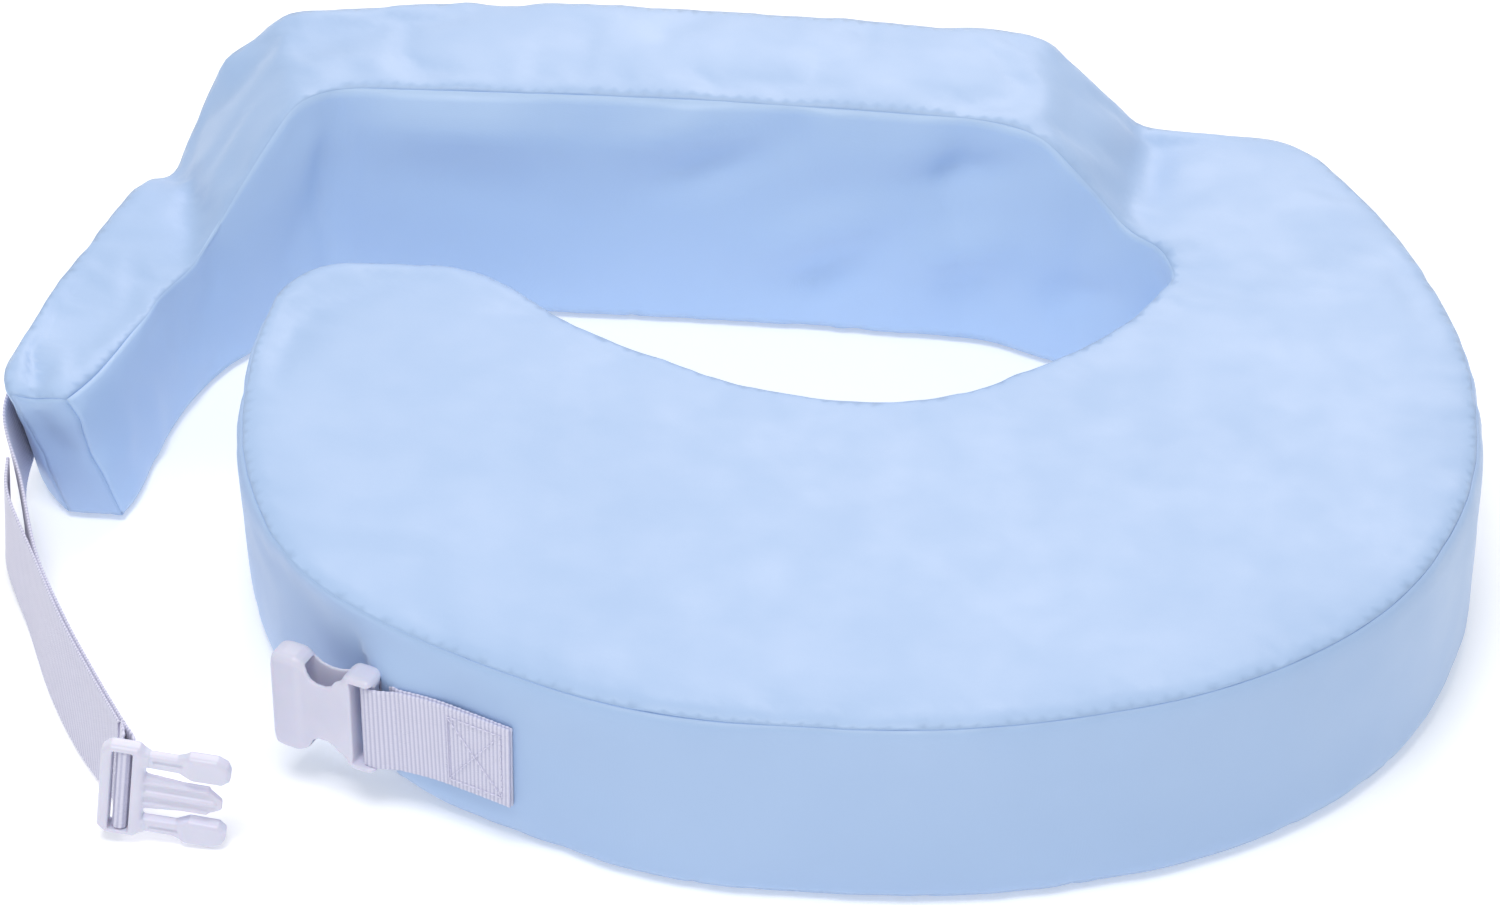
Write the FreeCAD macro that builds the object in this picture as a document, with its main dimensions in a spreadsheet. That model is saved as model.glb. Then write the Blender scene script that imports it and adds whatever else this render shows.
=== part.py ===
"""Wrap-around nursing pillow: a C-shaped foam platform with a raised backrest and a flexible arm,
in a sewn, zipped cover, closed across the front by a webbing strap and a side-release buckle.

Frame: +Z up, +X along the backrest towards the wide side of the platform, +Y towards the back.
The origin is on the surface that the pillow rests on, under the middle of its bounding box.
Lengths are in millimetres.
"""
import FreeCAD, Part
import math
import os

from FreeCAD import Placement, Rotation, Vector

DOC = FreeCAD.newDocument("nursing_pillow")
SHEET = DOC.addObject("Spreadsheet::Sheet", "Sizes")

# Driving dimensions, one alias each.
SIZES = {
    "pillow_length": 597.0,
    "pillow_depth": 439.0,
    "platform_height": 84.0,
    "back_height": 115.0,
    "arm_height": 65.0,
    "cover_thickness": 1.2,
    "foam_inset": 3.0,
    "slope_run_left": 46.0,
    "slope_run_right": 39.0,
    "webbing_width": 38.0,
    "webbing_thickness": 1.4,
    "male_width": 44.0,
    "male_thickness": 8.0,
    "prong_thickness": 6.0,
    "guide_thickness": 2.4,
    "rib_thickness": 5.0,
    "female_width": 47.0,
    "female_length": 44.0,
    "female_thickness": 12.0,
    "mouth_width": 40.0,
    "mouth_height": 7.4,
    "mouth_depth": 33.0,
    "bar_thickness": 5.0,
    "strap_slot_width": 38.8,
    "stitch_height": 0.35,
    "zip_length": 150.0,
    "zip_height": 34.0,
    "zip_slot": 7.0,
    "zip_tape_width": 12.0,
    "zip_tape_thickness": 0.7,
    "coil_width": 2.6,
    "coil_thickness": 1.6,
    "pull_length": 21.0,
    "pull_thickness": 1.0,
}


def fill_sheet():
    for row, (alias, value) in enumerate(SIZES.items(), 1):
        SHEET.set("A%d" % row, alias)
        SHEET.set("B%d" % row, str(value))
        SHEET.setAlias("B%d" % row, alias)
    DOC.recompute()


def size(alias):
    return float(SHEET.get(alias))


fill_sheet()
HALF_GAP = 0.15  # each side of a parting line between two bodies
BIG = 400.0  # longer than the pillow is deep, for tools that reach right across it
TOOL_TOP = 140.0  # above the backrest

# Corners of the platform and backrest in plan: x, y, and the share of the shorter
# neighbouring side that the corner's arc takes up. They run clockwise from the outer end
# of the line where the arm flexes to its inner end.
NOMINAL_LENGTH = 597.0
NOMINAL_DEPTH = 439.0
PLAN_CORNERS = [
    (-275, 102, 0), (-257, 186, 0.42), (-120, 217, 0.25), (94, 217, 0.3), (148, 194, 0.4),
    (221, 190, 0.25), (263, 127, 0.48), (293, 47, 0.48), (299, -44, 0.48), (269, -128, 0.48),
    (208, -184, 0.48), (112, -220, 0.48), (-10, -223, 0.48), (-92, -190, 0.48),
    (-154, -150, 0.46), (-187, -76, 0.48), (-193, 2, 0.48), (-186, 55, 0.48), (-110, 60, 0.42),
    (-66, 20, 0.45), (16, -17, 0.45), (84, -17, 0.45), (154, 42, 0.45), (178, 96, 0.3),
    (130, 128, 0.4), (92, 144.5, 0.4), (-40, 147, 0.45), (-184, 139, 0.3), (-213, 107, 0.4),
    (-231, 79, 0),
]

# The arm is a block between two outlines, because its walls lean out towards the tip:
# y and x of the outer and inner walls at the bottom and at the top, from the flex line on.
ARM_OUTER_BOTTOM = [(-275, 102), (-282, 62), (-285.5, 12), (-281, -8), (-271, -19)]
ARM_OUTER_TOP = [(-276, 102), (-287.5, 62), (-296, 12), (-296.5, -8), (-291, -20)]
ARM_INNER_BOTTOM = [(-231, 79), (-238.5, 50), (-243, 16), (-244.5, -4), (-248, -19)]
ARM_INNER_TOP = [(-231.5, 79), (-245, 52), (-253, 16), (-259, -5), (-267, -21)]

SUBPARTS = {}


def keep(obj, label):
    """Names a finished sub-part."""
    obj.Label = label
    SUBPARTS[label] = obj
    return obj


# ---------------------------------------------------------------- outlines and basic solids


def plan_corners():
    sx = size("pillow_length") / NOMINAL_LENGTH
    sy = size("pillow_depth") / NOMINAL_DEPTH
    return [(x * sx, y * sy, share) for x, y, share in PLAN_CORNERS]


def rounded_loop(corners):
    """Edges of a closed outline: straight sides joined by tangent arcs."""
    starts, ends, arcs = [], [], []
    count = len(corners)
    for i, (x, y, share) in enumerate(corners):
        corner = Vector(x, y, 0)
        before = Vector(*corners[i - 1][:2], 0) - corner
        after = Vector(*corners[(i + 1) % count][:2], 0) - corner
        reach = share * min(before.Length, after.Length)
        before.normalize()
        after.normalize()
        if reach == 0:
            starts.append(corner)
            ends.append(corner)
            arcs.append(None)
            continue
        half = before.getAngle(after) / 2
        radius = reach * math.tan(half)
        middle = (before + after).normalize()
        crown = corner + middle * (radius / math.sin(half) - radius)
        starts.append(corner + before * reach)
        ends.append(corner + after * reach)
        arcs.append(Part.Arc(starts[-1], crown, ends[-1]).toShape())
    edges = []
    for i in range(count):
        if arcs[i]:
            edges.append(arcs[i])
        start, end = ends[i], starts[(i + 1) % count]
        if (end - start).Length > 0.001:
            edges.append(Part.makeLine(start, end))
    return edges


def polygon(points):
    """Edges of a closed outline with straight sides."""
    corners = [Vector(p[0], p[1], 0) for p in points]
    return [Part.makeLine(a, b) for a, b in zip(corners, corners[1:] + corners[:1])]


def rectangle(x0, y0, x1, y1):
    return polygon([(x0, y0), (x1, y0), (x1, y1), (x0, y1)])


def circle(x, y, radius):
    return [Part.Circle(Vector(x, y, 0), Vector(0, 0, 1), radius).toShape()]


def inset(edges, distance):
    """The outline moved inwards."""
    wire = Part.Wire(Part.__sortEdges__(edges))
    face = Part.Face(wire)
    return face.makeOffset2D(-distance).Wires[0].Edges if distance else wire.Edges


def draw(sketch, edges):
    for edge in edges:
        if isinstance(edge.Curve, Part.Circle):
            if edge.isClosed():
                sketch.addGeometry(edge.Curve)
            else:
                sketch.addGeometry(Part.ArcOfCircle(edge.Curve, edge.FirstParameter, edge.LastParameter))
        else:
            sketch.addGeometry(Part.LineSegment(edge.firstVertex().Point, edge.lastVertex().Point))


def sketch_at(name, edges, height=0.0):
    """A free sketch, parallel to the resting surface."""
    sketch = DOC.addObject("Sketcher::SketchObject", name)
    draw(sketch, edges)
    sketch.Placement = Placement(Vector(0, 0, height), Rotation())
    return sketch


def extrude(name, edges, height, length):
    """A straight block from height upwards; length is a number or an expression."""
    block = DOC.addObject("Part::Extrusion", name)
    block.Base = sketch_at(name + "_outline", edges, height)
    block.DirMode = "Custom"
    block.Dir = Vector(0, 0, 1)
    block.Solid = True
    if isinstance(length, str):
        block.setExpression("LengthFwd", length)
    else:
        block.LengthFwd = length
    return block


def boolean(kind, name, *objects):
    """Part::Cut takes a base and one tool; Part::MultiFuse and Part::MultiCommon take any."""
    result = DOC.addObject(kind, name)
    if kind == "Part::Cut":
        result.Base, result.Tool = objects
    else:
        result.Shapes = list(objects)
    return result


def loft(name, lower, upper, low, high):
    """A ruled block between two polygons of matching corners."""
    solid = DOC.addObject("Part::Loft", name)
    solid.Sections = [
        sketch_at(name + "_low", polygon(lower), low),
        sketch_at(name + "_high", polygon(upper), high),
    ]
    solid.Solid = True
    solid.Ruled = True
    return solid


# ---------------------------------------------------------------- platform and backrest


def height_envelope(name, drop):
    """The space under the top surface, lowered by drop: platform, backrest and both slopes."""
    platform = DOC.addObject("Part::Box", name + "_platform")
    platform.Placement = Placement(Vector(-BIG, -BIG, -1), Rotation())
    platform.Length = 2 * BIG
    platform.Width = 2 * BIG
    platform.setExpression("Height", "Sizes.platform_height + 1 - %g" % drop)
    top, low, arm = (size(a) - drop for a in ("back_height", "platform_height", "arm_height"))
    right_top, right_foot = 114.0, 114.0 + size("slope_run_right")
    profile = polygon([(-BIG, low - 2), (right_foot, low - 2), (right_foot, low), (right_top, top), (-BIG, top)])
    riser = extrude(name + "_riser", profile, 0, BIG)
    # The profile is drawn in X and Z and runs along Y, over the backrest only.
    back_only = 100.0
    riser.Dir = Vector(0, 1, 0)
    riser.Base.Placement = Placement(Vector(0, back_only, 0), Rotation(Vector(1, 0, 0), 90))
    whole = boolean("Part::MultiFuse", name + "_whole", platform, riser)
    # Left slope: falls away from the line through slope_crest, towards the arm.
    slope_crest = Vector(-206, 157, 0)
    downhill = Rotation(Vector(0, 0, 1), 194)
    run = size("slope_run_left")
    above = polygon([(0, top), (run, arm), (BIG, arm), (BIG, TOOL_TOP), (0, TOOL_TOP)])
    half_width = 84.0
    cutter = extrude(name + "_left_cutter", above, 0, 2 * half_width)
    across = downhill.multVec(Vector(0, 1, 0))
    cutter.Dir = across
    cutter.Base.Placement = Placement(
        slope_crest - across * half_width, downhill.multiply(Rotation(Vector(1, 0, 0), 90))
    )
    return boolean("Part::Cut", name + "_envelope", whole, cutter)


def pillow_block(name, gap, drop, base):
    """Platform and backrest, with walls moved in by gap, top lowered by drop, from base up."""
    column = extrude(name + "_column", inset(rounded_loop(plan_corners()), gap), base, TOOL_TOP)
    return boolean("Part::MultiCommon", name, column, height_envelope(name, drop))


def flex_bridge(name, low, length):
    """Fills the wall line across the arm's flex line, where the cover has no seam or wall."""
    return extrude(name, polygon([(-272.6, 101.5), (-232.6, 80.6), (-226, 92), (-268, 114)]), low, length)


INNER_SIDE = [
    (-252, 90.5), (-200, 165), (0, 182), (140, 165), (225, 100), (230, 0), (100, -110),
    (-60, -80), (-125, 0), (-125, 90), (-205, 70), (-236, 60),
]


def make_cover_panels():
    thin = size("cover_thickness")
    full = pillow_block("cover_solid", 0, 0, 0)
    keep(boolean("Part::Cut", "TopPanel", full, pillow_block("below_top", 0, thin, 0)), "cover_top_panel")
    keep(
        extrude("BottomPanel", rounded_loop(plan_corners()), 0, "Sizes.cover_thickness"),
        "cover_bottom_panel",
    )
    walls = pillow_block("wall_solid", 0, thin, thin)
    core = extrude("wall_core", inset(rounded_loop(plan_corners()), thin), -1, TOOL_TOP)
    hollow = boolean("Part::MultiFuse", "wall_hollow", core, flex_bridge("wall_bridge", -1, TOOL_TOP))
    ring = boolean("Part::Cut", "wall_ring", walls, hollow)
    inside = extrude("inner_side", polygon(INNER_SIDE), -1, TOOL_TOP)
    keep(boolean("Part::MultiCommon", "InnerBand", ring, inside), "cover_inner_band")
    outer = boolean("Part::Cut", "outer_ring", ring, extrude("inner_side_tool", polygon(INNER_SIDE), -1, TOOL_TOP))
    keep(boolean("Part::Cut", "OuterBand", outer, zip_slot_tool()), "cover_outer_band")


def make_core_foam():
    gap = size("foam_inset")
    slab_top = "Sizes.platform_height + 1 - Sizes.foam_inset"
    for name, label in (("slab", "foam_slab"), ("riser", "foam_backrest")):
        block = pillow_block("foam_" + name + "_solid", gap, gap, gap)
        slab = DOC.addObject("Part::Box", "slab_space_" + name)
        slab.Placement = Placement(Vector(-BIG, -BIG, -1), Rotation())
        slab.Length = 2 * BIG
        slab.Width = 2 * BIG
        slab.setExpression("Height", slab_top)
        if name == "slab":
            keep(boolean("Part::MultiCommon", "FoamSlab", block, slab), label)
        else:
            keep(boolean("Part::Cut", "FoamBackrest", block, slab), label)


# ---------------------------------------------------------------- arm


def shifted(points, distance, side):
    """A polyline moved sideways; side is +1 for its left, -1 for its right."""
    moved = []
    for i, point in enumerate(points):
        here = Vector(point[0], point[1], 0)
        normals = []
        for j in (i - 1, i):
            if 0 <= j < len(points) - 1:
                along = Vector(*points[j + 1], 0) - Vector(*points[j], 0)
                normals.append(Vector(-along.y, along.x, 0).normalize() * side)
        normal = normals[0] if len(normals) == 1 else (normals[0] + normals[1]).normalize()
        stretch = distance / normal.dot(normals[0])
        moved.append((here.x + normal.x * stretch, here.y + normal.y * stretch))
    return moved


def along_wall(points, start, end):
    """The polyline with its ends moved along its first and last sides."""
    result = [Vector(x, y, 0) for x, y in points]
    result[0] = result[0] + (result[1] - result[0]).normalize() * start
    result[-1] = result[-1] + (result[-2] - result[-1]).normalize() * end
    return [(p.x, p.y) for p in result]


def arm_walls(gap, end):
    """Outer and inner walls at the bottom and the top, moved in by gap and stopped short of the tip."""
    walls = []
    # The flex line is slanted, so a wall that is moved in starts further down the arm.
    start = 2 * HALF_GAP + 0.5 * (gap + size("cover_thickness"))
    for line, side in (
        (ARM_OUTER_BOTTOM, 1), (ARM_OUTER_TOP, 1), (ARM_INNER_BOTTOM, -1), (ARM_INNER_TOP, -1),
    ):
        walls.append(along_wall(shifted(line, gap, side), start, end))
    return walls


def arm_loft(name, gap, end, drop):
    outer_low, outer_high, inner_low, inner_high = arm_walls(gap, end)
    top = size("arm_height") - drop
    return loft(name, outer_low + inner_low[::-1], outer_high + inner_high[::-1], drop, top)


def wall_strip(name, label, low_line, high_line, side):
    """One thin upright panel along a wall of the arm."""
    thin = size("cover_thickness")
    lower = low_line + shifted(low_line, thin, side)[::-1]
    upper = high_line + shifted(high_line, thin, side)[::-1]
    panel = loft(name, lower, upper, thin, size("arm_height") - thin)
    if label:
        keep(panel, label)
    return panel


def make_arm():
    thin = size("cover_thickness")
    gap = size("foam_inset")
    outer_low, outer_high, inner_low, inner_high = arm_walls(0, 0)
    keep(arm_loft("ArmFoam", gap, gap, gap), "foam_arm")
    keep(extrude("ArmBottom", polygon(outer_low + inner_low[::-1]), 0, "Sizes.cover_thickness"), "arm_bottom_panel")
    top = extrude("ArmTop", polygon(outer_high + inner_high[::-1]), 0, "Sizes.cover_thickness")
    top.Base.setExpression("Placement.Base.z", "Sizes.arm_height - Sizes.cover_thickness")
    keep(top, "arm_top_panel")
    ends_low = [ARM_OUTER_BOTTOM[-1], ARM_INNER_BOTTOM[-1]]
    ends_high = [ARM_OUTER_TOP[-1], ARM_INNER_TOP[-1]]
    wall_strip("ArmEnd", "arm_end_panel", ends_low, ends_high, 1)
    for name, label, low, high, side in (
        ("ArmOuter", "arm_outer_band", outer_low, outer_high, 1),
        ("ArmInner", "arm_inner_band", inner_low, inner_high, -1),
    ):
        strip = wall_strip(name + "Strip", "", low, high, side)
        end = wall_strip(name + "Trim", "", ends_low, ends_high, 1)
        keep(boolean("Part::Cut", name, strip, end), label)


# ---------------------------------------------------------------- moulded parts as bodies


def origin_plane(body, role):
    for feature in body.Origin.OriginFeatures:
        if feature.Role == role:
            return feature
    raise ValueError("no plane " + role)


def body_sketch(body, edges, height):
    sketch = body.newObject("Sketcher::SketchObject", body.Name + "_Sketch")
    sketch.AttachmentSupport = [(origin_plane(body, "XY_Plane"), "")]
    sketch.MapMode = "FlatFace"
    sketch.AttachmentOffset = Placement(Vector(0, 0, height), Rotation())
    draw(sketch, edges)
    return sketch


def set_length(feature, length):
    if isinstance(length, str):
        feature.setExpression("Length", length)
    else:
        feature.Length = length


def pad_on(body, edges, height, length):
    sketch = body_sketch(body, edges, height)
    pad = body.newObject("PartDesign::Pad", body.Name + "_Pad")
    pad.Profile = sketch
    set_length(pad, length)
    DOC.recompute()
    return pad


def cut_in(body, edges, height, length):
    """Cuts upwards from height, and makes sure that it cut something."""
    before = body.Shape.Volume
    sketch = body_sketch(body, edges, height)
    pocket = body.newObject("PartDesign::Pocket", body.Name + "_Pocket")
    pocket.Profile = sketch
    pocket.Reversed = True
    set_length(pocket, length)
    DOC.recompute()
    if not body.Shape.Volume < before - 0.01:
        raise ValueError("%s: the pocket at %g cuts nothing" % (body.Name, height))
    return pocket


def new_body(name):
    return DOC.addObject("PartDesign::Body", name)


def facing(origin, along, across):
    """A placement whose local X is along and local Y is across."""
    return Placement(origin, Rotation(along, across, along.cross(across), "XYZ"))


# ---------------------------------------------------------------- zip, in the back of the band

ZIP_START_X = -80.0
SLIDER_START = 2.4  # from the start of the slot to the slider's nose, with the zip closed
PULL_AXIS = Vector(4.35, 0, 2.25)  # in the slider's own frame


def back_face():
    """Y of the straight stretch of the backrest's outer face."""
    return 217.0 * size("pillow_depth") / NOMINAL_DEPTH


def upright_box(name, corner, sizes):
    """A box with its low corner at corner; each size is a number or an expression."""
    box = DOC.addObject("Part::Box", name)
    box.Placement = Placement(corner, Rotation())
    for side, value in zip(("Length", "Width", "Height"), sizes):
        if isinstance(value, str):
            box.setExpression(side, value)
        else:
            setattr(box, side, value)
    return box


def zip_slot_tool():
    reach = 5.0
    corner = Vector(ZIP_START_X, back_face() - reach, size("zip_height") - size("zip_slot") / 2)
    return upright_box("zip_slot_tool", corner, ("Sizes.zip_length", 2 * reach, "Sizes.zip_slot"))


def make_zip():
    middle = size("zip_height")
    tape_y = back_face() - size("cover_thickness") - 0.1 - size("zip_tape_thickness")
    coil_y = tape_y + size("zip_tape_thickness") + 0.02
    overlap = 4.0  # how far a tape runs past each end of the slot
    margin = 2.0  # from each end of the slot to the coil
    for side, name in ((1, "upper"), (-1, "lower")):
        width = size("zip_tape_width")
        low = middle + (0.1 if side > 0 else -0.1 - width)
        corner = Vector(ZIP_START_X - overlap, tape_y, low)
        lengths = ("Sizes.zip_length + %g" % (2 * overlap), "Sizes.zip_tape_thickness", "Sizes.zip_tape_width")
        keep(upright_box("Tape_" + name, corner, lengths), "zip_tape_" + name)
        width = size("coil_width")
        low = middle + (0.05 if side > 0 else -0.05 - width)
        corner = Vector(ZIP_START_X + margin, coil_y, low)
        lengths = ("Sizes.zip_length - %g" % (2 * margin), "Sizes.coil_thickness", "Sizes.coil_width")
        keep(upright_box("Coil_" + name, corner, lengths), "zip_coil_" + name)
    stop = Vector(1.6, 2.0, 6.0)
    starts = (ZIP_START_X + 0.2, ZIP_START_X + size("zip_length") - 0.2 - stop.x)
    stops = [
        upright_box("ZipStop%d" % i, Vector(x, coil_y, middle - stop.z / 2), tuple(stop))
        for i, x in enumerate(starts)
    ]
    keep(boolean("Part::MultiFuse", "ZipStops", *stops), "zip_stops")
    make_slider(Vector(ZIP_START_X + SLIDER_START, coil_y + size("coil_thickness") + 0.2, middle))


def make_slider(origin):
    """A shield over the coils with a bridge along it, and a pull that turns under the bridge."""
    along, down = Vector(1, 0, 0), Vector(0, 0, -1)
    slider = new_body("ZipSlider")
    shield = rounded_loop([(0, -3.3, 0.35), (0, 3.3, 0.35), (9.0, 2.4, 0.35), (9.0, -2.4, 0.35)])
    pad_on(slider, shield, 0, 1.2)
    for x in (1.0, 6.4):
        pad_on(slider, rectangle(x, -1.3, x + 1.3, 1.3), 1.1, 2.4)
    pad_on(slider, rectangle(1.0, -1.3, 7.7, 1.3), 3.3, 0.9)
    slider.Placement = facing(origin, along, down)
    keep(slider, "zip_slider")

    pull = new_body("ZipPull")
    length = size("pull_length")
    outline = [
        (0.5, -2.7, 0.2), (0.5, 2.7, 0.2), (-5.4, 2.7, 0.2),
        (-length, 3.2, 0.4), (-length, -3.2, 0.4), (-5.4, -2.7, 0.2),
    ]
    pad_on(pull, rounded_loop(outline), 0, "Sizes.pull_thickness")
    cut_in(pull, rectangle(-4.2, -1.7, -0.5, 1.7), -1, 3)
    cut_in(pull, circle(4.0 - length, 0, 1.4), -1, 3)
    to_axis = facing(Vector(0, 0, 0), along, down).multVec(PULL_AXIS)
    thickness = Vector(0, size("pull_thickness") / 2, 0)
    pull.Placement = facing(origin + to_axis - thickness, along, down)
    keep(pull, "zip_pull")


# ---------------------------------------------------------------- webbing


def ribbon(name, stations, thickness, offset=0.0):
    """Webbing on edge through stations of x, y, middle height and lean in degrees.

    The lean tips the upper edge towards the left of the run. The offset moves the webbing to
    the right of the run, across its own face.
    """
    sections = []
    half = size("webbing_width") / 2
    for i, (x, y, z, lean) in enumerate(stations):
        first, last = stations[max(i - 1, 0)], stations[min(i + 1, len(stations) - 1)]
        run = Vector(last[0] - first[0], last[1] - first[1], 0).normalize()
        right = Vector(run.y, -run.x, 0)
        tip = math.radians(lean)
        up = Vector(0, 0, 1) * math.cos(tip) - right * math.sin(tip)
        face = right * math.cos(tip) + Vector(0, 0, 1) * math.sin(tip)
        edges = rectangle(offset - thickness / 2, -half, offset + thickness / 2, half)
        section = sketch_at("%s_section%d" % (name, i), edges)
        section.Placement = facing(Vector(x, y, z), face, up)
        sections.append(section)
    strip = DOC.addObject("Part::Loft", name)
    strip.Sections = sections
    strip.Solid = True
    strip.Ruled = True
    return strip


def stitch_rows(name, label, rows):
    """Rows of short stitches across the webbing; each row has a point on its face and a run."""
    count, pitch, length, thread = 8, 4.5, 3.2, 0.6
    pieces = []
    for i, (point, run, lean) in enumerate(rows):
        edges = []
        for j in range(count):
            low = (j - (count - 1) / 2) * pitch - length / 2
            edges += rectangle(-thread / 2, low, thread / 2, low + length)
        row = extrude("%s_row%d" % (name, i), edges, 0, "Sizes.stitch_height")
        run = Vector(run).normalize()
        right = Vector(run.y, -run.x, 0)
        tip = math.radians(lean)
        up = Vector(0, 0, 1) * math.cos(tip) - right * math.sin(tip)
        out = right * math.cos(tip) + Vector(0, 0, 1) * math.sin(tip)
        row.Base.Placement = Placement(point + out * 0.02, Rotation(up.cross(out), up, out, "XYZ"))
        row.Dir = out
        pieces.append(row)
    keep(boolean("Part::MultiFuse", name, *pieces), label)


def fold(name, label, section, hole, place):
    """Webbing wrapped round a bar: a section with a hole, in local X and Z, along local Y."""
    half = size("webbing_width") / 2
    outer = extrude(name + "_outer", polygon(section), 0, "Sizes.webbing_width")
    inner = extrude(name + "_inner", polygon(hole), 0, size("webbing_width") + 2)
    # The drawn X and Y become the local X and Z, and the extrusion runs along local Y.
    turn = Placement(Vector(0, 0, 0), Rotation(Vector(1, 0, 0), 90))
    for block, start in ((outer, -half), (inner, -half - 1)):
        block.Base.Placement = place.multiply(Placement(Vector(0, start, 0), Rotation())).multiply(turn)
        block.Dir = place.Rotation.multVec(Vector(0, 1, 0))
    keep(boolean("Part::Cut", name, outer, inner), label)


# ---------------------------------------------------------------- strap and socket on the platform

SOCKET_RUN = Vector(-0.937, 0.349, 0).normalize()
SOCKET_BAR_END = Vector(-113.2, -184.5, 40.5)
PLATFORM_STRAP = [
    (-59.8, -204.9, 40.5, 0), (-76.4, -197.7, 40.5, 0), (-92.0, -191.2, 40.5, 0), (-107.1, -186.8, 40.5, 0),
]


def make_platform_strap():
    layers = 2 * size("webbing_thickness")
    keep(ribbon("PlatformStrap", PLATFORM_STRAP, layers), "platform_strap")
    rows = []
    start, middle, end = (Vector(*station[:3]) for station in PLATFORM_STRAP[:3])
    for a, b, share in ((start, middle, 0.25), (middle, end, 0.7)):
        run = b - a
        # The webbing runs towards the socket, so the outside is on the left of the run.
        out = Vector(-run.y, run.x, 0).normalize()
        rows.append((a + run * share + out * (layers / 2 + 0.25), run * -1, 0))
    stitch_rows("PlatformStitching", "platform_strap_stitching", rows)


def make_socket():
    """The buckle's female half: a flat box with a mouth, side windows and a bar for the webbing."""
    place = facing(SOCKET_BAR_END, SOCKET_RUN, Vector(0, 0, 1))
    length, half, deep = size("female_length"), size("female_width") / 2, size("female_thickness")
    slot_half = size("strap_slot_width") / 2
    socket = new_body("Socket")
    outline = [
        (0, 3.0 - half, 0.4), (0, half - 3.0, 0.4), (3.0, half, 0.4),
        (length, half - 0.8, 0.05), (length, 0.8 - half, 0.05), (3.0, -half, 0.4),
    ]
    pad_on(socket, rounded_loop(outline), -deep / 2, "Sizes.female_thickness")
    notch = [(11.5, half + 2, 0), (14.0, half - 4, 0.3), (27.0, half - 4, 0.3), (30.0, half + 2, 0)]
    cut_in(socket, rounded_loop(notch), -deep, 2 * deep)
    cut_in(socket, rounded_loop([(x, -y, share) for x, y, share in notch[::-1]]), -deep, 2 * deep)
    mouth_half = size("mouth_width") / 2
    mouth = rectangle(length - size("mouth_depth"), -mouth_half, length + 2, mouth_half)
    cut_in(socket, mouth, -size("mouth_height") / 2, "Sizes.mouth_height")
    bar, slot_end = 5.0, 9.0
    cut_in(socket, rectangle(bar, -slot_half, slot_end, slot_half), -deep, 2 * deep)
    bar_half = size("bar_thickness") / 2
    for low in (-deep, bar_half):
        cut_in(socket, rectangle(-2, -slot_half, bar + 0.5, slot_half), low, deep - bar_half)
    socket.Placement = place
    keep(socket, "female_buckle")
    section = [
        (-3.5, -1.45), (-0.8, -4.1), (5.0, -4.1), (6.6, -2.7), (6.6, 2.7), (5.0, 4.1), (-0.8, 4.1), (-3.5, 1.45),
    ]
    hole = [(-1.9, 0), (-0.1, -2.65), (5.1, -2.65), (5.1, 2.65), (-0.1, 2.65)]
    fold("SocketFold", "female_strap_fold", section, hole, place)


# ---------------------------------------------------------------- strap and plug on the arm

ARM_STRAP = [(-287.1, 50, 31, -5.9), (-291.6, 12, 31, -9.2)]
LOOSE_STRAP = [
    (-292.9, 7.6, 31.0, -9), (-293.2, -8, 30.5, -10), (-290.2, -24, 28.5, -7), (-281.5, -50, 25.0, -1),
    (-268, -94, 21.0, 6), (-250, -132, 20.0, 10), (-231, -166, 20.5, 11), (-208.6, -202.5, 24.5, 6),
]
# The free end lies on the outer side, and parts from the strap before its cut end.
TAIL_START = [(-293.0, -38, 25.5, -3), (-286.0, -60, 23.8, 1)]
TAIL_JOINS = 4
PLUG_TILT = 7.0  # the prongs point down towards the resting surface
PLUG_BAR = Vector(-207.0, -214.5, 26.0)  # middle of the bar that carries the webbing
PLUG_BAR_X = 8.5


def plug_place():
    """Local X along the prongs, local Y up the width, local Z out of the front face."""
    turn = Rotation(Vector(0, 1, 0), PLUG_TILT)
    along = turn.multVec(Vector(1, 0, 0))
    up = turn.multVec(Vector(0, 0, 1))
    return facing(PLUG_BAR - along * PLUG_BAR_X, along, up)


def make_arm_strap():
    thick = size("webbing_thickness")
    keep(ribbon("ArmStrap", ARM_STRAP, thick), "arm_strap_sewn_end")
    start, end = (Vector(*station[:3]) for station in ARM_STRAP)
    run = end - start
    out = Vector(run.y, -run.x, 0).normalize()
    rows = []
    for share in (0.12, 0.86):
        lean = ARM_STRAP[0][3] + share * (ARM_STRAP[1][3] - ARM_STRAP[0][3])
        rows.append((start + run * share + out * (thick / 2 + 0.05), run, lean))
    stitch_rows("ArmStitching", "arm_strap_stitching", rows)
    keep(ribbon("LooseStrap", LOOSE_STRAP, thick, -thick / 2 - 0.05), "loose_strap")
    # Pushed out by one layer, so that the two layers lie face to face.
    shift = thick / 2 + 0.05
    tail = TAIL_START + LOOSE_STRAP[TAIL_JOINS:]
    keep(ribbon("StrapTail", tail, thick, shift), "loose_strap_tail")


def prong_outline(side):
    points = [
        (17.8, 13.4, 0.3), (17.8, 18.8, 0.3), (29.0, 18.9, 0.3), (33.5, 21.0, 0.3), (44.0, 21.0, 0.4),
        (49.0, 17.6, 0.3), (49.0, 13.0, 0.3), (46.5, 11.6, 0.3), (36.0, 11.8, 0.3), (31.0, 13.9, 0.3),
    ]
    if side < 0:
        points = [(x, -y, share) for x, y, share in points[::-1]]
    return rounded_loop(points)


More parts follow.
